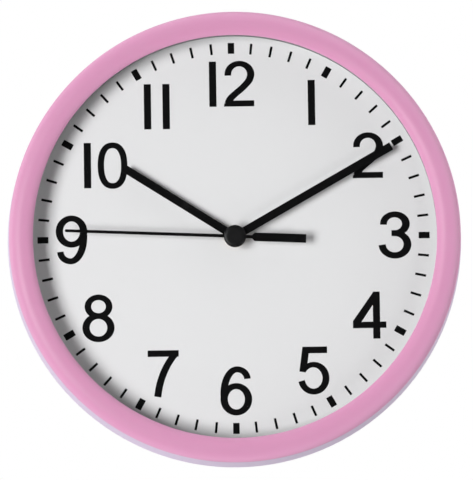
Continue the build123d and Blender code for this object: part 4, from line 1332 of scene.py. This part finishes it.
class WALLCLOCK_OT_second_hand(bpy.types.Operator):
    """Finishes the stamped second hand and its collet"""

    bl_idname = "wall_clock.second_hand"
    bl_label = "Second hand"
    bl_options = {"REGISTER", "UNDO"}

    def execute(self, context):
        dress_hand(context, "second", "second_hand_set")
        return {"FINISHED"}


def dress_hand(context, kind, body):
    """A stamped hand with softly rolled edges, and its brass collet."""
    sizes, colours = chosen(context)
    pointer, bush = f"{kind}_pointer", f"{kind}_bush"
    add_piece(pointer, softened(pointer, f"{kind}_hand", sizes.hand_edge), hand_paint(colours),
              body, (f"{kind}_hand",))
    add_piece(bush, softened(bush, f"{kind}_collet", sizes.hand_edge, BRASS_CREASE), brass(),
              body, (f"{kind}_collet",))


class WALLCLOCK_OT_hub_cap(bpy.types.Operator):
    """Turns the domed cap over the hands' centre"""

    bl_idname = "wall_clock.hub_cap"
    bl_label = "Hub cap"
    bl_options = {"REGISTER", "UNDO"}

    def execute(self, context):
        _, radius, base, top, _, _ = reach("hub_cap")
        socket = reach("second_collet")[3]
        flat, rim, bore, edge = 3.9 * MM, base + 0.5 * MM, 1.1 * MM, 0.08 * MM
        profile = [(0.0, socket), (bore, socket), (bore, base), (radius - edge, base),
                   (radius, base + edge)]
        profile += arc((flat, rim), (radius - flat, top - rim), 0, 90, 14)
        for part, dip in ((0.7, 0.02), (0.4, 0.04), (0.0, 0.05)):
            profile.append((flat * part, top - dip * MM))
        add_piece("centre_cap", turned("centre_cap", profile, 96), cap_plastic(chosen(context)[1]),
                  "second_hand_set", ("hub_cap",))
        return {"FINISHED"}


class WALLCLOCK_OT_movement(bpy.types.Operator):
    """Finishes the movement's case, its rear cover and the setting knob"""

    bl_idname = "wall_clock.movement"
    bl_label = "Movement case"
    bl_options = {"REGISTER", "UNDO"}

    def execute(self, context):
        sizes, colours = chosen(context)
        black = plastic("Movement plastic", colours.movement, rough=0.5, grain_scale=1800.0,
                        grain_depth=0.00002, shade=0.12, scuffs=0.1, dust=0.05, patch=40.0)
        cover = plastic("Cover plastic", colours.movement, rough=0.42, grain_scale=1800.0,
                        grain_depth=0.000014, shade=0.1, scuffs=0.08, dust=0.04, patch=50.0)
        knob = plastic("Knob plastic", colours.knob, rough=0.4, grain_scale=2000.0,
                       grain_depth=0.000008, patch=60.0)
        rows = (
            ("movement_shell", "movement_case", sizes.movement_edge, black, "case",
             "movement_black"),
            ("movement_lid", "movement_cover", sizes.fine_edge, cover, "case", "cover_black"),
            ("setting_wheel", "setting_knob", sizes.fine_edge, knob, "setting_knob_set",
             "knob_grey"),
        )
        for name, node, edge, finish, body, slot in rows:
            add_piece(name, softened(name, node, edge), finish, body, (node,))
        return {"FINISHED"}


class WALLCLOCK_OT_battery(bpy.types.Operator):
    """Turns the cell: its sleeve with rolled ends, its negative plate and its positive cap"""

    bl_idname = "wall_clock.battery"
    bl_label = "Battery"
    bl_options = {"REGISTER", "UNDO"}

    def execute(self, context):
        colours = chosen(context)[1]
        left, right, rear, front, bottom, top = reach("battery")
        tip = reach("battery_terminal")[1]
        radius = (top - bottom) / 2
        along_cell = lying_along((rear + front) / 2, (top + bottom) / 2)
        inner, rolled, fold = radius - 0.9 * MM, 0.5 * MM, 0.2 * MM
        left_floor, right_floor = left + 0.5 * MM, right - 0.4 * MM
        sleeve = rounded([
            (0.0, left_floor, 0), (inner, left_floor, 0), (inner, left, fold),
            (radius, left, rolled), (radius, right, rolled), (inner, right, fold),
            (inner, right_floor, 0), (0.0, right_floor, 0)], 6)
        jacket = battery_jacket(colours.jacket, colours.jacket_band, left + 0.68 * (right - left))
        add_piece("cell_sleeve", turned("cell_sleeve", sleeve, 96, along_cell), jacket,
                  "battery_set", ("battery",))
        plate, plate_edge, plate_front = 5.5 * MM, 4.9 * MM, left + 0.55 * MM
        negative = rounded([(0.0, left, 0), (plate_edge, left, 0.25 * MM), (plate, plate_front, 0),
                            (0.0, plate_front, 0)])
        disc, disc_rear, disc_front = 5.6 * MM, right - 0.42 * MM, right - 0.1 * MM
        button_base, button = 3.1 * MM, 2.7 * MM
        positive = rounded([
            (0.0, disc_rear, 0), (disc, disc_rear, 0), (disc, disc_front, 0.1 * MM),
            (button_base, disc_front, 0.3 * MM), (button, tip, 0.35 * MM), (0.0, tip, 0)])
        shape = bmesh.new()
        for profile in (negative, positive):
            turn_profile(shape, profile, along_cell, 64)
        add_piece("cell_ends", mesh_of(shape, "cell_ends"), nickel(), "battery_set",
                  ("battery_terminal",))
        return {"FINISHED"}


class WALLCLOCK_OT_works(bpy.types.Operator):
    """Gives the wheels, motor, circuit and fittings inside the movement their finishes"""

    bl_idname = "wall_clock.works"
    bl_label = "Works"
    bl_options = {"REGISTER", "UNDO"}

    def execute(self, context):
        groups = {
            "fifth_wheel third_wheel seconds_wheel minute_wheel motion_wheel hour_wheel "
            "rotor_pinion setting_pinion middle_plate coil_bobbin": gear_plastic(),
            "minute_tube": brass(),
            "seconds_arbor": steel(),
            "stator coil_core": metal("Motor iron", paint(150, 152, 158), 0.34,
                                      (2.0, 30.0, 30.0), 110.0),
            "rotor_magnet": metal("Rotor magnet", paint(84, 82, 86), 0.45,
                                  (20.0, 20.0, 20.0), 200.0),
            "circuit_board": board_mask(paint(32, 92, 58)),
            "control_chip": plastic("Chip resin", paint(26, 26, 28), rough=0.3,
                                    grain_scale=2000.0, grain_depth=0.00001, shade=0.2,
                                    scuffs=0.05, patch=160.0),
            "quartz_crystal contact_negative contact_positive": nickel(),
            "rubber_washer": plastic("Washer rubber", paint(34, 33, 34), rough=0.75,
                                     grain_scale=2400.0, grain_depth=0.00003, shade=0.2,
                                     scuffs=0.05, dust=0.1, patch=90.0),
        }
        for names, finish in groups.items():
            for name in names.split():
                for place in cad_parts[name].material_slots:
                    place.material = finish
        wind_coil(chosen(context)[0].wire_pitch)
        for name, node in (("centre_sleeve", "centre_bush"), ("face_washer", "dial_washer"),
                           ("fixing_nut", "hex_nut")):
            mesh = softened(name, node, 0.1 * MM, BRASS_CREASE)
            add_piece(name, mesh, brass(), "case", (node,))
        return {"FINISHED"}


def wind_coil(pitch):
    """The motor coil, with the round backs of its turns of enamelled wire."""
    copper = metal("Enamelled copper", paint(192, 108, 62), 0.25, (60.0, 1.0, 1.0), 160.0)
    left, right, rear, front, bottom, top = reach("coil_winding")
    core, radius, points_a_turn = 1.9 * MM, (top - bottom) / 2, 4
    points = int((right - left) / pitch) * points_a_turn
    wire = [(core, left)]
    for point in range(points + 1):
        groove = pitch / 2 * (1 - sin(pi * (point % points_a_turn) / points_a_turn))
        wire.append((radius - groove, left + (right - left) * point / points))
    wire.append((core, right))
    place = lying_along((rear + front) / 2, (top + bottom) / 2)
    add_piece("wire_winding", turned("wire_winding", wire, 64, place), copper, "case",
              ("coil_winding",))


# ======================================================================= stage
LAMP_AWAY = 9.0         # metres from the clock to each lamp
CAMERA_AWAY = 2.108     # metres from the clock's front to the camera


class WALLCLOCK_OT_stage(bpy.types.Operator):
    """Sets the camera, the soft light, the backdrop and the floor"""

    bl_idname = "wall_clock.stage"
    bl_label = "Stage"
    bl_options = {"REGISTER", "UNDO"}

    def execute(self, context):
        sizes, colours = chosen(context)
        scene = context.scene
        set_camera(scene, reach("bezel")[3])
        lamps = (
            add_lamp(scene, "Key light", (-0.608, -0.788, -0.1), (3.6, 5.7), sizes.key_power),
            add_lamp(scene, "Low light", (0.578, -0.656, -0.485), (2.2, 2.2), sizes.low_power),
        )
        keep_off(lamps, bpy.data.objects["clear_pane"])
        set_world(scene, sizes)
        add_floor(scene, CAD_BOX[0][2] - sizes.floor_drop, colours.floor)
        scene.view_settings.view_transform = "Standard"
        return {"FINISHED"}


def add_lamp(scene, name, direction, spread, power):
    """A soft box that stands in a direction from the clock and shines at it."""
    box = bpy.data.lights.new(name, "AREA")
    box.shape = "RECTANGLE"
    box.size, box.size_y = spread
    box.energy = power
    lamp = bpy.data.objects.new(name, box)
    scene.collection.objects.link(lamp)
    lamp.location = Vector(direction).normalized() * LAMP_AWAY
    lamp.rotation_mode = "QUATERNION"
    lamp.rotation_quaternion = (-lamp.location).to_track_quat("-Z", "Y")
    return lamp


def keep_off(lamps, pane):
    """Keeps the lamps' mirror images out of the pane, as a studio's flags do."""
    flagged = bpy.data.collections.new("Flagged from the lamps")
    flagged.objects.link(pane)
    for lamp in lamps:
        lamp.light_linking.receiver_collection = flagged
    flagged.collection_objects[0].light_linking.link_state = "EXCLUDE"


def set_camera(scene, front):
    """A long lens a little under the clock's axis, and turned a little round its own."""
    side, rise, roll = radians(-0.55), radians(-4.43), radians(-0.83)
    target = spot(0.73 * MM, front, -2.73 * MM)
    camera = bpy.data.cameras.new("Camera")
    camera.lens = 286.8
    camera.sensor_width = 36.0
    camera.clip_start = 0.05
    camera.clip_end = 30.0
    holder = bpy.data.objects.new("Camera", camera)
    scene.collection.objects.link(holder)
    back = Vector((sin(side) * cos(rise), -cos(side) * cos(rise), sin(rise)))
    right = (-back).cross(Vector((0.0, 0.0, 1.0))).normalized()
    up = right.cross(-back)
    across = right * cos(roll) + up * sin(roll)
    upward = up * cos(roll) - right * sin(roll)
    holder.rotation_mode = "QUATERNION"
    holder.rotation_quaternion = Matrix((across, upward, back)).transposed().to_quaternion()
    holder.location = target + back * CAMERA_AWAY
    scene.camera = holder


def set_world(scene, sizes):
    """White to the eye, with a backdrop, a board and a screen for fill light and for gloss."""
    world = bpy.data.worlds.new("Studio")
    scene.world = world
    world.use_nodes = True
    tree = world.node_tree
    shader = tree.nodes["Background"]
    shader.inputs["Color"].default_value = (1.0, 1.0, 1.0, 1.0)
    place = tree.nodes.new("ShaderNodeTexCoord")
    parts = add_node(tree, "ShaderNodeSeparateXYZ",
                     inputs={"Vector": place.outputs["Generated"]}).outputs

    def eased(value, low, high, at_low, at_high):
        return ramp(tree, value, low, high, at_low, at_high, "SMOOTHSTEP")

    def slanting(across, up):
        return reckoned(tree, "ADD", reckoned(tree, "MULTIPLY", parts["X"], across),
                        reckoned(tree, "MULTIPLY", parts["Z"], up))

    # Fill light: the backdrop behind, darker towards the lower left, and a board at the right.
    backdrop = eased(parts["Y"], -0.2, 0.8, sizes.front_fill, sizes.rear_fill)
    lower = eased(slanting(0.5, 0.85), -0.9, 0.5, 0.15, 1.0)
    board = eased(slanting(0.85, 0.5), -0.3, 0.9, 0.0, sizes.side_fill)
    near_edge = eased(parts["Y"], -0.6, -0.1, 0.0, 1.0)
    far_edge = eased(parts["Y"], 0.15, 0.5, 1.0, 0.0)
    board = reckoned(tree, "MULTIPLY", board, reckoned(tree, "MULTIPLY", near_edge, far_edge))
    fill = reckoned(tree, "ADD", reckoned(tree, "MULTIPLY", backdrop, lower), board)
    # Gloss: the dark room in front, the backdrop behind and a white screen at the left.
    room = eased(parts["Y"], -0.3, 0.1, sizes.front_gloss, sizes.rear_gloss)
    gloss = reckoned(tree, "ADD", room, eased(parts["X"], -0.95, -0.55, sizes.left_gloss, 0.0))
    path = tree.nodes.new("ShaderNodeLightPath").outputs
    glossy = reckoned(tree, "MAXIMUM", path["Is Glossy Ray"], path["Is Transmission Ray"])
    direct = reckoned(tree, "LESS_THAN", path["Diffuse Depth"], 0.5)
    level = blended(tree, reckoned(tree, "MULTIPLY", glossy, direct), fill, gloss, "FLOAT")
    seen = blended(tree, path["Is Camera Ray"], level, 1.0, "FLOAT")
    tree.links.new(seen, shader.inputs["Strength"])


def add_floor(scene, height, base):
    """A plain pale floor, far under the clock."""
    shape = bmesh.new()
    bmesh.ops.create_grid(shape, x_segments=8, y_segments=8, size=1.5)
    bmesh.ops.translate(shape, verts=shape.verts, vec=(0.0, 0.0, height))
    mesh = bpy.data.meshes.new("floor")
    shape.to_mesh(mesh)
    shape.free()
    floor = bpy.data.objects.new("floor", mesh)
    scene.collection.objects.link(floor)
    mesh.materials.append(plastic("Floor", base, rough=0.8, grain_scale=60.0, grain_depth=0.0002,
                                  shade=0.01, scuffs=0.0, patch=1.5))


# ======================================================================= panel
STEPS = (WALLCLOCK_OT_bezel, WALLCLOCK_OT_rear_case, WALLCLOCK_OT_case_screws, WALLCLOCK_OT_glass,
         WALLCLOCK_OT_dial, WALLCLOCK_OT_ticks, WALLCLOCK_OT_numerals, WALLCLOCK_OT_hour_hand,
         WALLCLOCK_OT_minute_hand, WALLCLOCK_OT_second_hand, WALLCLOCK_OT_hub_cap,
         WALLCLOCK_OT_movement, WALLCLOCK_OT_battery, WALLCLOCK_OT_works, WALLCLOCK_OT_stage)


class WALLCLOCK_PT_panel(bpy.types.Panel):
    """Lists the clock's pieces with their sizes and colours"""

    bl_idname = "WALLCLOCK_PT_panel"
    bl_label = "Wall Clock"
    bl_space_type = "VIEW_3D"
    bl_region_type = "UI"
    bl_category = "Wall Clock"

    def draw(self, context):
        column = self.layout.column(align=True)
        for step in STEPS:
            column.operator(step.bl_idname)
        for group in (context.scene.wall_clock_sizes, context.scene.wall_clock_colours):
            box = self.layout.box()
            for label in group.bl_rna.properties.keys():
                if label not in ("rna_type", "name"):
                    box.prop(group, label)


CLASSES = (ClockSizes, ClockColours, *STEPS, WALLCLOCK_PT_panel)


def register():
    """Makes the clock's steps, panel, sizes and colours known to Blender."""
    for item in CLASSES:
        bpy.utils.register_class(item)
    bpy.types.Scene.wall_clock_sizes = PointerProperty(type=ClockSizes)
    bpy.types.Scene.wall_clock_colours = PointerProperty(type=ClockColours)


def unregister():
    """Takes out again what register put in."""
    del bpy.types.Scene.wall_clock_colours
    del bpy.types.Scene.wall_clock_sizes
    for item in reversed(CLASSES):
        bpy.utils.unregister_class(item)


def main():
    """Takes every step in turn."""
    register()
    for step in STEPS:
        getattr(bpy.ops.wall_clock, step.bl_idname.split(".")[1])()


if __name__ == "__main__":
    main()
